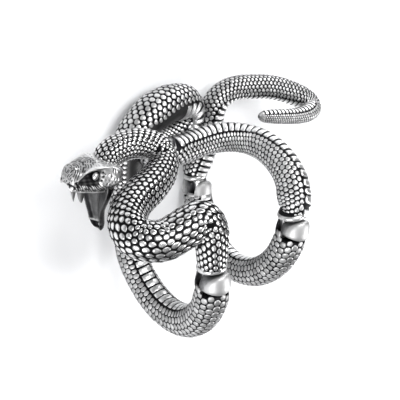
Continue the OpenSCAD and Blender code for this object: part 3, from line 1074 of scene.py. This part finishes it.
@dataclass
class Head:
    """The skull with its open lower jaw, eyes and fangs. Its own axes: back, up, near side."""

    place: Triple = (-7.8, 14.7, -1.5)
    pitch: float = 22.0
    roll: float = 10.0
    jaw_roll: float = 6.0
    slant: float = 0.02
    eye_r: float = 0.5
    # Forward, half width, half width at the brow, crown, brow, lip, palate
    skull_rows: tuple = (
        (-1.0, 2.0, 1.8, 1.6, 1.2, -0.2, 0.2), (0.0, 3.2, 2.5, 2.0, 1.5, -0.4, 0.1),
        (1.0, 3.4, 2.6, 2.1, 1.7, -1.0, -0.5), (2.2, 3.2, 2.6, 2.1, 1.75, -1.8, -1.1),
        (3.5, 2.9, 2.5, 1.95, 1.6, -2.1, -1.4), (4.7, 2.5, 2.2, 1.55, 1.0, -2.3, -1.6),
        (5.9, 2.15, 1.85, 0.95, 0.3, -2.5, -1.9), (6.8, 1.8, 1.6, 0.75, -0.1, -2.5, -2.0),
        (7.25, 1.5, 1.3, 0.6, -0.3, -2.4, -2.0), (7.45, 0.9, 0.85, 0.15, -0.6, -1.9, -1.7),
        (7.54, 0.3, 0.28, -0.55, -0.8, -1.3, -1.2),
    )
    # Forward, height, half width
    jaw_rows: tuple = ((0.9, 0.6, 1.9), (1.3, -0.6, 2.5), (1.7, -2.4, 2.8), (1.4, -4.0, 2.5),
                       (0.9, -5.4, 2.0), (0.3, -6.8, 1.6), (-0.2, -8.0, 1.3), (-0.5, -8.7, 0.9))
    # Name, forward, up, sideways, raise, reach forward, up and sideways, change of rise; on both sides
    marks: tuple = (
        ("eye", 4.12, 0.42, 2.7, -0.34, 0.72, 0.52, 0.7, -0.9),
        ("nostril", 7.05, -1.7, 1.15, -0.3, 0.3, 0.2, 0.3, -1.0),
        ("cheek", 1.5, 0.1, 3.2, 0.16, 1.1, 0.8, 0.9, 0.2),
        ("nose", 6.9, 0.7, 0.8, 0.12, 0.5, 0.6, 0.9, 0.1),
        ("lip_front", 6.95, -2.1, 1.0, 0.1, 0.6, 0.3, 1.2, 0.3),
        ("temple", 2.6, 1.7, 2.0, 0.12, 1.0, 0.5, 0.6, 0.25),
    )
    # Forward and height of the sharp ridge that runs from the nostril over the eye
    brow_line: tuple = ((1.4, 1.75), (3.2, 1.75), (3.9, 1.56), (4.4, 1.36), (4.8, 1.12), (5.3, 0.75),
                        (5.8, 0.28), (6.2, -0.35), (6.65, -0.95), (7.0, -1.25))
    # Ends of the crease from the nostril's ridge down to the lip, as forward and height, and its width
    crease: tuple = ((6.6, -1.1), (5.7, -2.2), 0.11)
    # How far the ridge, the lip and the wrinkles stand out, and how deep the hollow, crease and strokes lie
    ridge_height: float = 0.27
    lip_height: float = 0.07
    wrinkle_height: float = 0.06
    hollow_depth: float = 0.26
    crease_depth: float = 0.16
    stroke_depth: float = 0.1
    # Slant in degrees, pitch, length and width of each field of strokes
    crown_strokes: tuple = (58.0, 0.34, 1.1, 0.075)
    snout_strokes: tuple = (10.0, 0.3, 0.9, 0.06)
    muzzle_strokes: tuple = (60.0, 0.36, 0.9, 0.07)
    lip_wrinkles: tuple = (38.0, 0.28, 1.5, 0.075)
    fleck_seed: int = 5
    # Rise of the jaw at each point of its section, low on the near side and on the inner walls as painted
    # shade, and which of them lie on the mouth's floor
    jaw_rise_and_shade: tuple = (0.85, 0.4, 0.4, 0.4, 0.4, 0.12, 0.35, 0.2, 0.21, 0.434, 0.294, 0.12)
    jaw_floor: tuple = (0.3, 0.0, 0.0, 0.0, 0.0, 0.0, 0.3, 0.6, 1.0, 1.0, 1.0, 0.6)
    # Side, length below the palate, radius at the root, and roundness of the tip
    fangs: tuple = ((-1.0, 3.5, 0.8, 0.8), (1.0, 2.7, 0.85, 0.5))
    fang_lean: float = 10.0
    fang_root: Triple = (-4.9, -1.2, 0.95)
    fang_grid: tuple[int, int] = (16, 20)
    eye_place: Triple = (-4.12, 0.38, 2.3)
    eye_axis: Triple = (-0.15, 0.1, 1.0)
    eye_grid: tuple[int, int] = (12, 24)
    # How much taller than wide the eye is
    eye_stretch: float = 1.25

    def axes(self) -> Array:
        """Returns the matrix that turns the head's own axes into the row frame's."""
        p = math.radians(-self.pitch)
        lean = np.array(((math.cos(p), -math.sin(p), 0), (math.sin(p), math.cos(p), 0), (0, 0, 1)))
        return lean @ rolled(self.roll)

    def to_row(self, local: Array) -> Array:
        """Returns points of the head's own axes in the row frame."""
        return local @ self.axes().T + np.array(self.place) + LAID

    def _skull_ring(self, row: Array) -> Array:
        """Works out one section of the skull.

        Args:
            row: A row of the skull's table.

        Returns:
            Its points as sideways and height, from the palate's middle round to it.
        """
        _, w, brow_w, top, brow, lip, roof = row
        half = [(0.6 * w, roof - 0.1), (0.84 * w, lip), (0.95 * w, lip + 0.3), (w, (lip + brow) / 2 - 0.2),
                (brow_w, brow), (brow_w / 2, top - 0.1)]
        ring = [(0.0, roof)] + half + [(0.0, top)] + [(-s, y) for s, y in reversed(half)]
        return np.array(ring)

    def _skull(self) -> tuple[Array, Array]:
        """Returns the skull's rings in its own axes, and how far each point is out of the dark cuts."""
        rings = []
        for row in spline_rows(np.array(self.skull_rows), 15):
            flat = spline_rows(self._skull_ring(row), 18, closed=True)
            rings.append(np.stack([-row[0] * (1 + self.slant * flat[:, 1]), flat[:, 1], flat[:, 0]], axis=1))
        rings = np.array(rings)
        outward = rings - rings.mean(1, keepdims=True)
        outward[..., 0] = 0
        moved, rise = self._carve(-rings[..., 0], rings[..., 1], np.abs(rings[..., 2]))
        return rings + moved[..., None] * unit(outward), np.clip(rise, 0.0, 1.1)

    def _carve(self, forward: Array, up: Array, side: Array) -> tuple[Array, Array]:
        """Works out the head's relief.

        Args:
            forward: Each point's distance towards the snout.
            up: Its height.
            side: Its distance from the middle plane.

        Returns:
            How far each point is moved out, and how far it is out of the dark cuts.
        """
        moved, rise = np.zeros(forward.shape), np.full(forward.shape, 0.66)
        lip_y = np.interp(forward, [row[0] for row in self.skull_rows], [row[5] for row in self.skull_rows])
        brow_y = np.interp(forward, *np.array(self.brow_line).T)
        # The hollow between the brow ridge and the lip, with the eye in its back half
        hollow = (within(forward, 2.9, 3.6, 6.0, 6.45)
                  * within(up, lip_y + 0.6, lip_y + 1.15, brow_y - 0.25, brow_y + 0.02))
        moved -= self.hollow_depth * hollow
        wave = np.sin(forward * 5.1 + up * 3.0) * np.sin(up * 6.3 - forward * 2.0)
        rise -= 0.5 * hollow * (0.9 + 0.25 * wave)
        for _, f, y, s, lift, reach_f, reach_y, reach_s, change in self.marks:
            bell = np.exp(-((forward - f) / reach_f) ** 2 - ((up - y) / reach_y) ** 2
                          - ((side - s) / reach_s) ** 2)
            moved += lift * bell
            rise += change * bell
        on_side = smooth_step(0.8, 1.3, side) * within(forward, 1.4, 2.6, 6.0, 6.9)
        ridge = np.exp(-((up - brow_y - 0.03) / 0.14) ** 2) * on_side
        lip = np.exp(-((up - lip_y - 0.08) / 0.12) ** 2) * smooth_step(0.4, 1.4, forward)
        moved += self.ridge_height * ridge + self.lip_height * lip
        rise += 0.6 * ridge + 0.4 * lip
        crease = self._cut(forward, up, *self.crease) * (side > 1.0)
        moved -= self.crease_depth * crease
        rise -= 0.8 * crease
        # Short strokes over the crown and round the snout, raised ones above the lip, pits behind the eye
        behind = smooth_step(3.7, 3.1, forward) * smooth_step(lip_y + 0.9, lip_y + 1.3, up)
        on_top = smooth_step(brow_y + 0.12, brow_y + 0.3, up) * (1 - behind)
        muzzle = smooth_step(6.2, 6.6, forward) * smooth_step(brow_y + 0.1, brow_y - 0.1, up)
        crown = on_top * smooth_step(7.2, 6.9, forward) * self._strokes(forward, side, *self.crown_strokes)
        snout = on_top * smooth_step(6.9, 7.2, forward) * self._strokes(up, side, *self.snout_strokes)
        lines = 0.8 * muzzle * self._strokes(forward + side, up, *self.muzzle_strokes)
        strokes = np.maximum(0.6 * np.maximum(crown, snout), lines)
        strokes = np.maximum(strokes, behind * self._flecks(forward, up + side))
        cheek = within(up, lip_y + 0.12, lip_y + 0.3, lip_y + 0.9, lip_y + 1.35)
        cheek *= within(forward, 0.6, 1.4, 6.3, 6.7) * (side > 1.2)
        wrinkles = cheek * self._strokes(forward, up, *self.lip_wrinkles)
        moved += self.wrinkle_height * wrinkles - self.stroke_depth * strokes
        rise = np.maximum(rise - 0.35 * cheek, 0.08) + 0.5 * wrinkles
        # The patch behind the eye is lifted brighter as a painted highlight; the crown is set a little darker,
        # and the strokes dark.
        rise += 0.4 * behind - 0.1 * on_top - 1.0 * strokes
        palate = smooth_step(lip_y + 0.1, lip_y - 0.05, up) * smooth_step(2.2, 1.7, side)
        return moved, rise * (1 - 0.8 * palate)

    @staticmethod
    def _cut(x: Array, y: Array, first: tuple[float, float], last: tuple[float, float],
             width: float) -> Array:
        """Works out a straight cut.

        Args:
            x: Each point's first measure.
            y: Its second measure.
            first: Where the cut starts, in the same measures.
            last: Where it ends.
            width: How wide it is.

        Returns:
            How far each point is in it, 1 in its middle and 0 outside.
        """
        run = np.subtract(last, first)
        share = np.clip(((x - first[0]) * run[0] + (y - first[1]) * run[1]) / (run @ run), 0.0, 1.0)
        gap = np.hypot(x - first[0] - share * run[0], y - first[1] - share * run[1])
        return np.exp(-(gap / width) ** 2)

    @staticmethod
    def _strokes(x: Array, y: Array, slant: float, pitch: float, length: float,
                 width: float) -> Array:
        """Works out a field of slanted, broken strokes.

        Args:
            x: Each point's first measure.
            y: Its second measure.
            slant: The strokes' angle to the first measure, in degrees.
            pitch: Distance from line to line.
            length: Distance from stroke to stroke in a line.
            width: How wide a stroke is.

        Returns:
            How far each point is in a stroke, 1 in its middle and 0 outside.
        """
        a = math.radians(slant)
        across = x * math.sin(a) - y * math.cos(a)
        along = x * math.cos(a) + y * math.sin(a)
        across = across + 0.1 * np.sin(along * 1.9) + 0.04 * np.sin(along * 5.3 + 1.0)
        line = np.floor(across / pitch)
        # A number from 0 to 1 that looks random and is the same for a whole line
        chance = np.modf(np.abs(np.sin(line * 12.9898) * 43758.5453))[0]
        wave = np.abs(np.modf(along / length + chance * 7.0 + 50.0)[0] - 0.5) * 2
        gap = (across / pitch - line - 0.5 + 0.3 * (chance - 0.5)) * pitch
        return np.exp(-(gap / (width * (0.6 + 0.7 * chance))) ** 2) * smooth_step(0.86, 0.6, wave)

    def _flecks(self, x: Array, y: Array) -> Array:
        """Works out a scatter of small pits.

        Args:
            x: Each point's first measure.
            y: Its second measure.

        Returns:
            How far each point is in a pit, 1 in its middle and 0 outside.
        """
        rng = np.random.default_rng(self.fleck_seed)
        out = np.zeros(x.shape)
        for row in range(-2, 12):
            for column in range(-2, 16):
                cx = column * 0.5 + 0.25 * (row % 2) + rng.uniform(-0.12, 0.12)
                cy = row * 0.55 + rng.uniform(-0.14, 0.14)
                turn = rng.uniform(0.2, 2.8)
                reach = rng.uniform(0.05, 0.24)
                end = (cx + reach * math.cos(turn), cy + reach * math.sin(turn))
                out = np.maximum(out, self._cut(x, y, (cx, cy), end, rng.uniform(0.08, 0.15)))
        return out

    def _jaw_ring(self, w: float) -> Array:
        """Works out one section of the jaw, round the outside and back along the floor.

        Args:
            w: Its half width.

        Returns:
            Its points as sideways and outward.
        """
        return np.array(((-w, 0.5), (-0.9 * w, -0.3), (-0.5 * w, -0.9), (0, -1.1), (0.5 * w, -0.9),
                         (0.9 * w, -0.3), (w, 0.5), (0.75 * w, 0.45), (0.5 * w, -0.1), (0, -0.35),
                         (-0.5 * w, -0.1), (-0.75 * w, 0.45)))

    def _jaw(self) -> tuple[Array, Array]:
        """Returns the lower jaw's rings in the head's own axes, and its rise."""
        steps = 10
        rings, rises = [], []
        # The low rise on the near side and on the inner walls is painted shade.
        lift_and_shade, floor = (spline_rows(np.array(row)[:, None], steps, closed=True)[:, 0]
                             for row in (self.jaw_rise_and_shade, self.jaw_floor))
        floor = np.clip(floor, 0.0, 1.0)
        for forward, height, w in spline_rows(np.array(self.jaw_rows), 14):
            flat = spline_rows(self._jaw_ring(w), steps, closed=True)
            # A bright crescent lies across the floor near the tip, with a dark hollow below it
            crescent = math.exp(-((height + 7.55) / 0.16) ** 2)
            hollow = float(within(height, -8.72, -8.55, -7.95, -7.75))
            flat[:, 1] += floor * (0.2 * crescent - 0.22 * hollow)
            # The outside bulges under the corner of the mouth
            bulge = 1 + 0.9 * (1 - floor) * math.exp(-((height + 1.4) / 1.5) ** 2)
            flat[:, 1] *= np.where(flat[:, 1] < 0, bulge, 1)
            flat[:, 1] *= float(np.interp(height, (-8.7, -8.3, -7.6), (0.35, 0.8, 1.0)))
            # The web at the corner of the mouth thickens the near wall
            web = 0.75 * math.exp(-((height + 2.8) / 1.9) ** 2)
            flat[:, 0] += np.where((floor < 0.5) & (flat[:, 0] > 0), web, 0.0)
            rings.append(np.stack([-forward - flat[:, 1], np.full(len(flat), height), flat[:, 0]], axis=1))
            rises.append(lift_and_shade + floor * (1.0 * crescent - 0.7 * hollow) + 0.5 * float(height < -8.6))
        return np.array(rings) @ rolled(-self.jaw_roll).T, np.clip(np.array(rises), 0, 1)

    def _fang(self, side: float, length: float, width: float, blunt: float) -> tuple[Array, Array]:
        """Works out a curved fang.

        Args:
            side: 1 for the near fang and -1 for the far one.
            length: Its length below the palate.
            width: Its radius at the root.
            blunt: How round its tip is, from 1 for a cone down to 0.5 for an egg.

        Returns:
            Its rings in the head's own axes, and their rise.
        """
        count, sides = self.fang_grid
        turn, lean = turns(sides), math.radians(self.fang_lean)
        back, up, out = self.fang_root
        rings = []
        for f in np.linspace(0.0, 1.0, count):
            r = width * (1 - 0.97 * f) ** blunt
            drop = (length + 0.6) * f
            centre = np.array((back + drop * math.sin(lean) + 0.25 * f * f - 0.14 * math.sin(math.pi * f),
                               up - drop * math.cos(lean), side * out))
            rings.append(centre + np.stack([r * np.cos(turn), np.zeros(sides), r * np.sin(turn)], axis=1))
        return np.array(rings), np.linspace(0.25, 0.8, count)[:, None] * np.ones((1, sides))

    def _eye(self, side: float) -> tuple[Array, Array]:
        """Works out one eye bead with a bright middle and a dark rim.

        Args:
            side: 1 for the near eye and -1 for the far one.

        Returns:
            Its rings in the head's own axes, and their rise.
        """
        mirror = np.array((1.0, 1.0, side))
        centre, axis = np.array(self.eye_place) * mirror, unit(np.array(self.eye_axis) * mirror)
        up = unit(np.cross(axis, (1.0, 0.0, 0.0)))
        back = np.cross(up, axis)
        count, sides = self.eye_grid
        turn = turns(sides)
        rings, rises = [], []
        for f in np.linspace(0.0, 1.0, count):
            a = math.pi * (0.02 + 0.96 * f)
            r = self.eye_r * math.sin(a)
            rings.append(centre - self.eye_r * math.cos(a) * axis
                         + r * (np.cos(turn)[:, None] * back + self.eye_stretch * np.sin(turn)[:, None] * up))
            rises.append(np.full(sides, 0.25 if f < 0.6 else 1.0))
        rings = np.array(rings)
        return (rings[:, ::-1] if side < 0 else rings), np.array(rises)

    def build(self, finishes: Finishes, body: str) -> list[Thing]:
        """Builds the head's pieces.

        Args:
            finishes: The ring's materials.
            body: The moving body that they ride on.

        Returns:
            The pieces.
        """
        pieces = []
        for name, finish, forms in (
                ("skull", finishes.head, [self._skull()]),
                ("lower_jaw", finishes.mouth, [self._jaw()]),
                ("fangs", finishes.mouth, [self._fang(*sizes) for sizes in self.fangs]),
                ("eyes", finishes.polish, [self._eye(side) for side in (-1.0, 1.0)])):
            piece = Shell.of_rings(name, *((self.to_row(rings), rise) for rings, rise in forms))
            pieces.append(dress(piece, finish, body))
        return pieces


@dataclass
class Shank:
    """The lower half of one loop: a dark core with scales and plates, and two smooth ears at each end."""

    name: str
    body: str
    hinge: tuple[float, float]
    half_span: float
    depth: float
    widths: Triple
    lean: float = 0.0
    shoulder: float = 2.4
    # The shield on the outer ear: half width, height above the pin and depth below it
    shield: Triple = (2.3, 2.28, 1.0)
    # The inner ear, in the same way
    cheek: Triple = (2.1, 2.25, 1.0)
    # Faces of the tongue's slot, from the leg's middle outwards
    slot_faces: tuple[float, float] = (-0.5, -1.7)
    # Share of the outline and drop from the dome's top, from the wall to the middle
    dome: tuple = ((1.0, 0.75), (0.995, 0.5), (0.97, 0.27), (0.92, 0.11), (0.84, 0.02), (0.7, -0.04),
                   (0.5, -0.09), (0.25, -0.12))
    # Leg radius that the ears and the wedge are drawn for
    drawn_radius: float = 2.6
    # The block beside the tongue's foot, as its outline from the leg's middle and its height
    wedge: tuple = ((1.2, -1.6), (2.2, -1.6), (2.5, -1.3), (2.52, -0.2), (2.45, 0.12), (2.25, 0.16),
                    (1.3, -0.3), (1.2, -0.4))
    # Distance of the scales' ends and of the core's ends from the path's ends
    scale_inset: float = 0.4
    core_inset: float = 0.15
    core_grid: tuple[float, int] = (0.4, 28)
    core_sink: float = -0.005
    core_rise: float = 0.1
    path_rows: int = 32

    def _outline(self, sizes: Triple, sides: int = 56) -> Array:
        """Works out an ear's outline about its pin: broad and round at the top, and pointed below.

        Args:
            sizes: Its half width, height and depth.
            sides: Its number of points.

        Returns:
            Its points.
        """
        width, above, below = sizes
        turn = turns(sides, 0.5)
        c, s = np.cos(turn), np.sin(turn)
        power = np.where(s > 0, 2.4, 1.75)
        size = (np.abs(c) ** power + np.abs(s) ** power) ** (-1 / power)
        return np.stack([width * size * c, np.where(s > 0, above, below) * size * s], axis=1)

    def _ear(self, sizes: Triple, face: float, radius: float,
             outward: float) -> tuple[Array, Array]:
        """Works out one ear.

        Args:
            sizes: The outline's half width, height and depth.
            face: Where its flat side lies in the slot.
            radius: The leg's radius, which the dome follows.
            outward: 1 for the outer ear, -1 for the inner one.

        Returns:
            Its rings about the pin, and how far each point stands out of the dark gaps.
        """
        flat = self._outline(sizes)
        rings, rises = [], []
        for share, lift in ((0.97, 0.1), (1.0, 0.15)):
            deep = face + outward * (0.0 if share < 1 else 0.06)
            rings.append(np.column_stack([flat * share, np.full(len(flat), deep)]))
            rises.append(np.full(len(flat), lift))
        for share, drop in self.dome:
            x, y = (flat * share).T
            round_top = np.sqrt(radius ** 2 - np.minimum(np.abs(x), 0.97 * radius) ** 2)
            top = round_top - 0.17 * np.maximum(-y, 0.0)
            z = np.maximum(top - drop, abs(face) + 0.1 if outward < 0 else face + 0.1)
            rings.append(np.column_stack([x, y, outward * z]))
            rises.append(np.full(len(flat), float(np.interp(drop, (0.0, 0.3, 0.75), (1.0, 0.8, 0.35)))))
        rings = np.array(rings)
        return (rings if outward > 0 else rings[:, ::-1]), np.array(rises)

    def _wedge(self, radius: float, hand: float) -> tuple[Array, Array]:
        """Works out the block that closes the slot's foot on one side of the tongue.

        Args:
            radius: The leg's radius.
            hand: 1 or -1, for the side.

        Returns:
            Its rings about the pin, and their rise.
        """
        flat = np.array(self.wedge)
        rings = []
        for deep in np.linspace(self.slot_faces[1] - 0.1, self.slot_faces[0] + 0.1, 5):
            reach = math.sqrt(max(radius ** 2 - deep ** 2, 0.1)) / self.drawn_radius
            x = np.maximum(flat[:, 0] * reach, np.minimum(flat[:, 0], 1.25))
            rings.append(np.column_stack([hand * x, flat[:, 1], np.full(len(flat), deep)]))
        rings = np.array(rings)
        return (rings if hand > 0 else rings[:, ::-1]), np.full(rings.shape[:2], 0.55)

    def _knuckle(self, side: float) -> Thing:
        """Builds the two ears and the two blocks at one end.

        Args:
            side: 1 for the near end and -1 for the far one.

        Returns:
            The piece.
        """
        tilt = math.radians(-self.lean)
        radius = (self.widths[0] if side > 0 else self.widths[2]) / 2
        share = radius / self.drawn_radius
        placed = []
        forms = [self._ear((self.shield[0] * share, *self.shield[1:]), self.slot_faces[0], radius, 1.0),
                 self._ear((self.cheek[0] * share, *self.cheek[1:]), self.slot_faces[1], radius, -1.0)]
        forms += [self._wedge(radius, hand) for hand in (1.0, -1.0)]
        for rings, rise in forms:
            x, y, z = np.moveaxis(rings, -1, 0)
            spot = np.stack([self.hinge[0] + x * math.cos(tilt) - y * math.sin(tilt),
                             self.hinge[1] + x * math.sin(tilt) + y * math.cos(tilt),
                             side * (self.half_span + z)], axis=-1) + LAID
            placed.append((spot if side > 0 else spot[:, ::-1], rise))
        return Shell.of_rings(f"{self.name}_{'near' if side > 0 else 'far'}_knuckle", *placed)

    def route(self) -> Route:
        """Returns the shank's path, the same as in the part's source."""
        deep = self.depth + self.shoulder
        start = math.asin((self.shoulder + 0.4) / deep)
        tilt = math.radians(-self.lean)
        first, mid, last = self.widths
        rows, belly = [], []
        for i in range(self.path_rows + 1):
            f = i / self.path_rows
            a = start + (math.pi - 2 * start) * f
            w = first + (mid - first) * 2 * f if f < 0.5 else mid + (last - mid) * (2 * f - 1)
            w *= 1 - 0.08 * max(0.0, abs(2 * f - 1) - 0.88) / 0.12
            y, z = self.shoulder - deep * math.sin(a), self.half_span * math.cos(a)
            rows.append((self.hinge[0] - y * math.sin(tilt), self.hinge[1] + y * math.cos(tilt), z, w))
            belly.append((i, -math.sin(a) * math.sin(tilt), math.sin(a) * math.cos(tilt), -math.cos(a)))
        return Route(rows, belly, 4)

    def build(self, tree: ScatterTree, finishes: Finishes) -> list[Thing]:
        """Builds the core with its scales and plates, and the ears.

        Args:
            tree: The tree that lays the scales.
            finishes: The ring's materials.

        Returns:
            The pieces that it adds.
        """
        route = self.route()
        coat = ScaleCoat(lines=13, ratios=((0, 1.15), (32, 1.15)), length_share=0.49, width_share=0.53,
                         belly_half=34.0, height=0.16, uneven=0.08, seed=SeedShape.COBBLE, number=23,
                         plate_pitch=1.7, plate_inset=0.2, scale_shares=(1.0, 1.0, 1.35),
                         plate_shares=(1.0, 1.02, 1.02))
        start, stop = self.scale_inset, route.length - self.scale_inset
        pieces = coat.lay(tree, self.name, route, (start, stop), (finishes.shank, finishes.plate), self.body)
        tube = route.tube(start + self.core_inset, stop - self.core_inset, *self.core_grid, self.core_sink)
        core = dress(Shell.of_rings(self.name + "_core", (tube, self.core_rise)), finishes.groove, self.body)
        pieces.append(core)
        for side in (1.0, -1.0):
            pieces.append(dress(self._knuckle(side), finishes.knuckle, self.body))
        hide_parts(self.name)
        return pieces


@dataclass
class Studio:
    """The pale floor, the soft lights, the room's light and the camera."""

    camera_place: Triple = (-92.577, 70.7184, 125.4297)
    right: Triple = (0.754621, -0.083383, 0.650842)
    up: Triple = (0.341008, 0.897259, -0.28043)
    back: Triple = (-0.56059, 0.43356, 0.705524)
    lens: float = 90.0
    bright_side: Triple = (-0.642, 0.113, 0.758)
    # Position on the ramp and colour, for the room's dark and bright side
    room_tones: tuple = ((0.05, (0.1, 0.1, 0.105, 1.0)), (0.95, (0.75, 0.75, 0.76, 1.0)))
    # Half the floor's side in metres, its colour and roughness
    floor_half: float = 1.6
    floor_colour: tuple[float, float, float, float] = (0.85, 0.855, 0.865, 1.0)
    floor_rough: float = 0.55
    # What the lights face, in millimetres
    aim: Triple = (0.0, 0.0, 14.0)
    # Name, place in millimetres, width and height in millimetres, power in watts
    lights: tuple = (
        ("key_light", (40.0, 150.0, 260.0), 200.0, 160.0, 0.82),
        ("fill_light", (-260.0, -80.0, 150.0), 180.0, 160.0, 0.7),
        ("edge_light", (170.0, -140.0, 160.0), 120.0, 160.0, 0.45),
        ("rim_light", (190.0, 170.0, 30.0), 100.0, 100.0, 0.3),
    )

    def build(self) -> None:
        """Builds the studio and sets the scene's camera."""
        self._camera()
        self._floor()
        self._lights()
        self._room()

    @staticmethod
    def _stand(name: str, data: bpy.types.ID, axes: tuple,
               place: Triple) -> Thing:
        """Makes an object from a camera or a light and puts it in place.

        Args:
            name: The object's name.
            data: The camera or the light.
            axes: Its directions to the right, up and back.
            place: Where it stands, in millimetres.

        Returns:
            The object.
        """
        thing = add_to_scene(bpy.data.objects.new(name, data))
        matrix = np.eye(4)
        matrix[:3, :3] = np.stack(axes, axis=1)
        matrix[:3, 3] = np.array(place) * MM
        thing.matrix_world = Matrix(matrix.tolist())
        return thing

    def _camera(self) -> None:
        """Sets up the camera at the photograph's angle."""
        data = bpy.data.cameras.new("camera")
        data.lens, data.sensor_width = self.lens, 36.0
        data.clip_start, data.clip_end = 0.005, 20.0
        bpy.context.scene.camera = self._stand("camera", data, (self.right, self.up, self.back),
                                               self.camera_place)

    def _floor(self) -> None:
        """Lays a wide pale floor under the ring."""
        corners = [(x * self.floor_half, y * self.floor_half, 0)
                   for x, y in ((-1, -1), (1, -1), (1, 1), (-1, 1))]
        floor = add_to_scene(plain_object("floor", corners, [(0, 1, 2, 3)]))
        material = bpy.data.materials.new("pale_floor")
        material.use_nodes = True
        kit = NodeKit(material.node_tree)
        kit.feed(kit.find("BSDF_PRINCIPLED"),
                 {"Base Color": self.floor_colour, "Roughness": self.floor_rough})
        floor.data.materials.append(material)

    def _lights(self) -> None:
        """Places the soft boxes, all turned to the ring."""
        for name, place, width, height, power in self.lights:
            data = bpy.data.lights.new(name, "AREA")
            data.shape = "RECTANGLE"
            data.size, data.size_y, data.energy = width * MM, height * MM, power
            back = unit(np.array(place) - np.array(self.aim))
            side = unit(np.cross((0.0, 0.0, 1.0), back))
            self._stand(name, data, (side, np.cross(back, side), back), place)

    def _room(self) -> None:
        """Lights the room: bright on one side, darker all round."""
        world = bpy.data.worlds.new("studio_room")
        bpy.context.scene.world = world
        world.use_nodes = True
        kit = NodeKit(world.node_tree)
        place = kit.node("ShaderNodeTexCoord").outputs["Generated"]
        facing = kit.node("ShaderNodeVectorMath", {0: place, 1: self.bright_side}, operation="DOT_PRODUCT")
        ramp = kit.node("ShaderNodeValToRGB", {0: facing.outputs["Value"]})
        for element, (position, colour) in zip(ramp.color_ramp.elements, self.room_tones):
            element.position, element.color = position, colour
        kit.feed(kit.find("BACKGROUND"), {"Color": ramp.outputs[0], "Strength": 1.0})
        bpy.context.scene.view_settings.view_transform = "Standard"


class SnakeRing:
    """The whole ring: the casting with its three body runs, the head, and the two hinged shanks."""

    def __init__(self) -> None:
        """Makes the shared tree and finishes."""
        self.tree = ScatterTree()
        self.finishes = Finishes(SilverShop())

    def build(self) -> None:
        """Builds and reports every piece."""
        made: list[Thing] = []
        for run in self._runs():
            made += run.build(self.tree, "casting")
        made += Head().build(self.finishes, "casting")
        for end in self._ends():
            made.append(end.build(self.finishes.polish, "casting"))
        for shank in self._shanks():
            made += shank.build(self.tree, self.finishes)
        for name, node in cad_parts.items():
            if name.endswith("_pin"):
                node.data.materials.clear()
                node.data.materials.append(self.finishes.pin)
        for piece in made:
            LOG.info("%s: %d faces", piece.name, len(piece.data.polygons))

    def _runs(self) -> list[BodyRun]:
        """Returns the three runs of the casting's body."""
        f = self.finishes
        front = ScaleCoat(lines=16, height=0.26, number=7, width_share=0.54, length_share=0.48, overlap=0.36,
                          # Dark bare patches inside the two tightest bends: patina and painted shade.
                          tight=((3.4, 5.8), (18.8, 22.6)),
                          ratios=((0, 1.5), (3.6, 1.5), (4.6, 1.4), (6.0, 1.8), (8.0, 1.75), (9.2, 1.35),
                                  (12, 1.35), (14, 1.5), (18, 1.6), (21, 1.6), (24, 1.4), (27, 1.2)))
        # The far coil's smooth belly strips carry the nearly black painted shade of its underside.
        far = ScaleCoat(lines=16, height=0.2, number=11, plain_belly=((2.6, 10.4), (16.2, 18.2)),
                        ratios=((0, 1.15), (32, 1.15)))
        tail = ScaleCoat(lines=15, height=0.15, number=13, plate_pitch=1.25, bare=((19.5, 20.0),),
                         ratios=((0, 1.15), (20, 1.15)))
        return [
            BodyRun("front_coil", Route(FRONT_COIL_ROWS, FRONT_COIL_BELLY), front, f.coil, f.coil, f.groove,
                    f.hollow, replaces=("snake",)),
            BodyRun("far_coil", Route(FAR_COIL_ROWS, FAR_COIL_BELLY), far, f.body, f.plate, f.groove,
                    f.hollow, stop_short=0.1),
            BodyRun("tail", Route(TAIL_ROWS, TAIL_BELLY), tail, f.tail, f.plate, f.groove, f.tail,
                    stop_short=0.2, sink=0.14),
        ]

    def _ends(self) -> list[HingeEnd]:
        """Returns the four hinge ends of the casting."""
        return [
            HingeEnd("front_near_collar", (0.0, -2.8, 10.8), 4.7),
            HingeEnd("front_far_collar", (0.0, -2.8, -10.8), 4.7),
            HingeEnd("rear_near_collar", (16.2, -0.2, 11.6), 4.6),
            HingeEnd("rear_far_collar", (16.2, -0.2, -11.6), 4.2),
        ]

    def _shanks(self) -> list[Shank]:
        """Returns the two lower loops."""
        return [
            Shank("front_shank", "front_loop", (0.0, -2.8), 10.8, 10.3, (5.4, 5.2, 4.8)),
            Shank("rear_shank", "rear_loop", (16.2, -0.2), 11.6, 10.3, (5.2, 4.7, 5.1), lean=11.0),
        ]


def main() -> None:
    """Builds the studio and the ring."""
    logging.basicConfig(level=logging.INFO, format="%(message)s")
    Studio().build()
    SnakeRing().build()


if __name__ == "__main__":
    main()
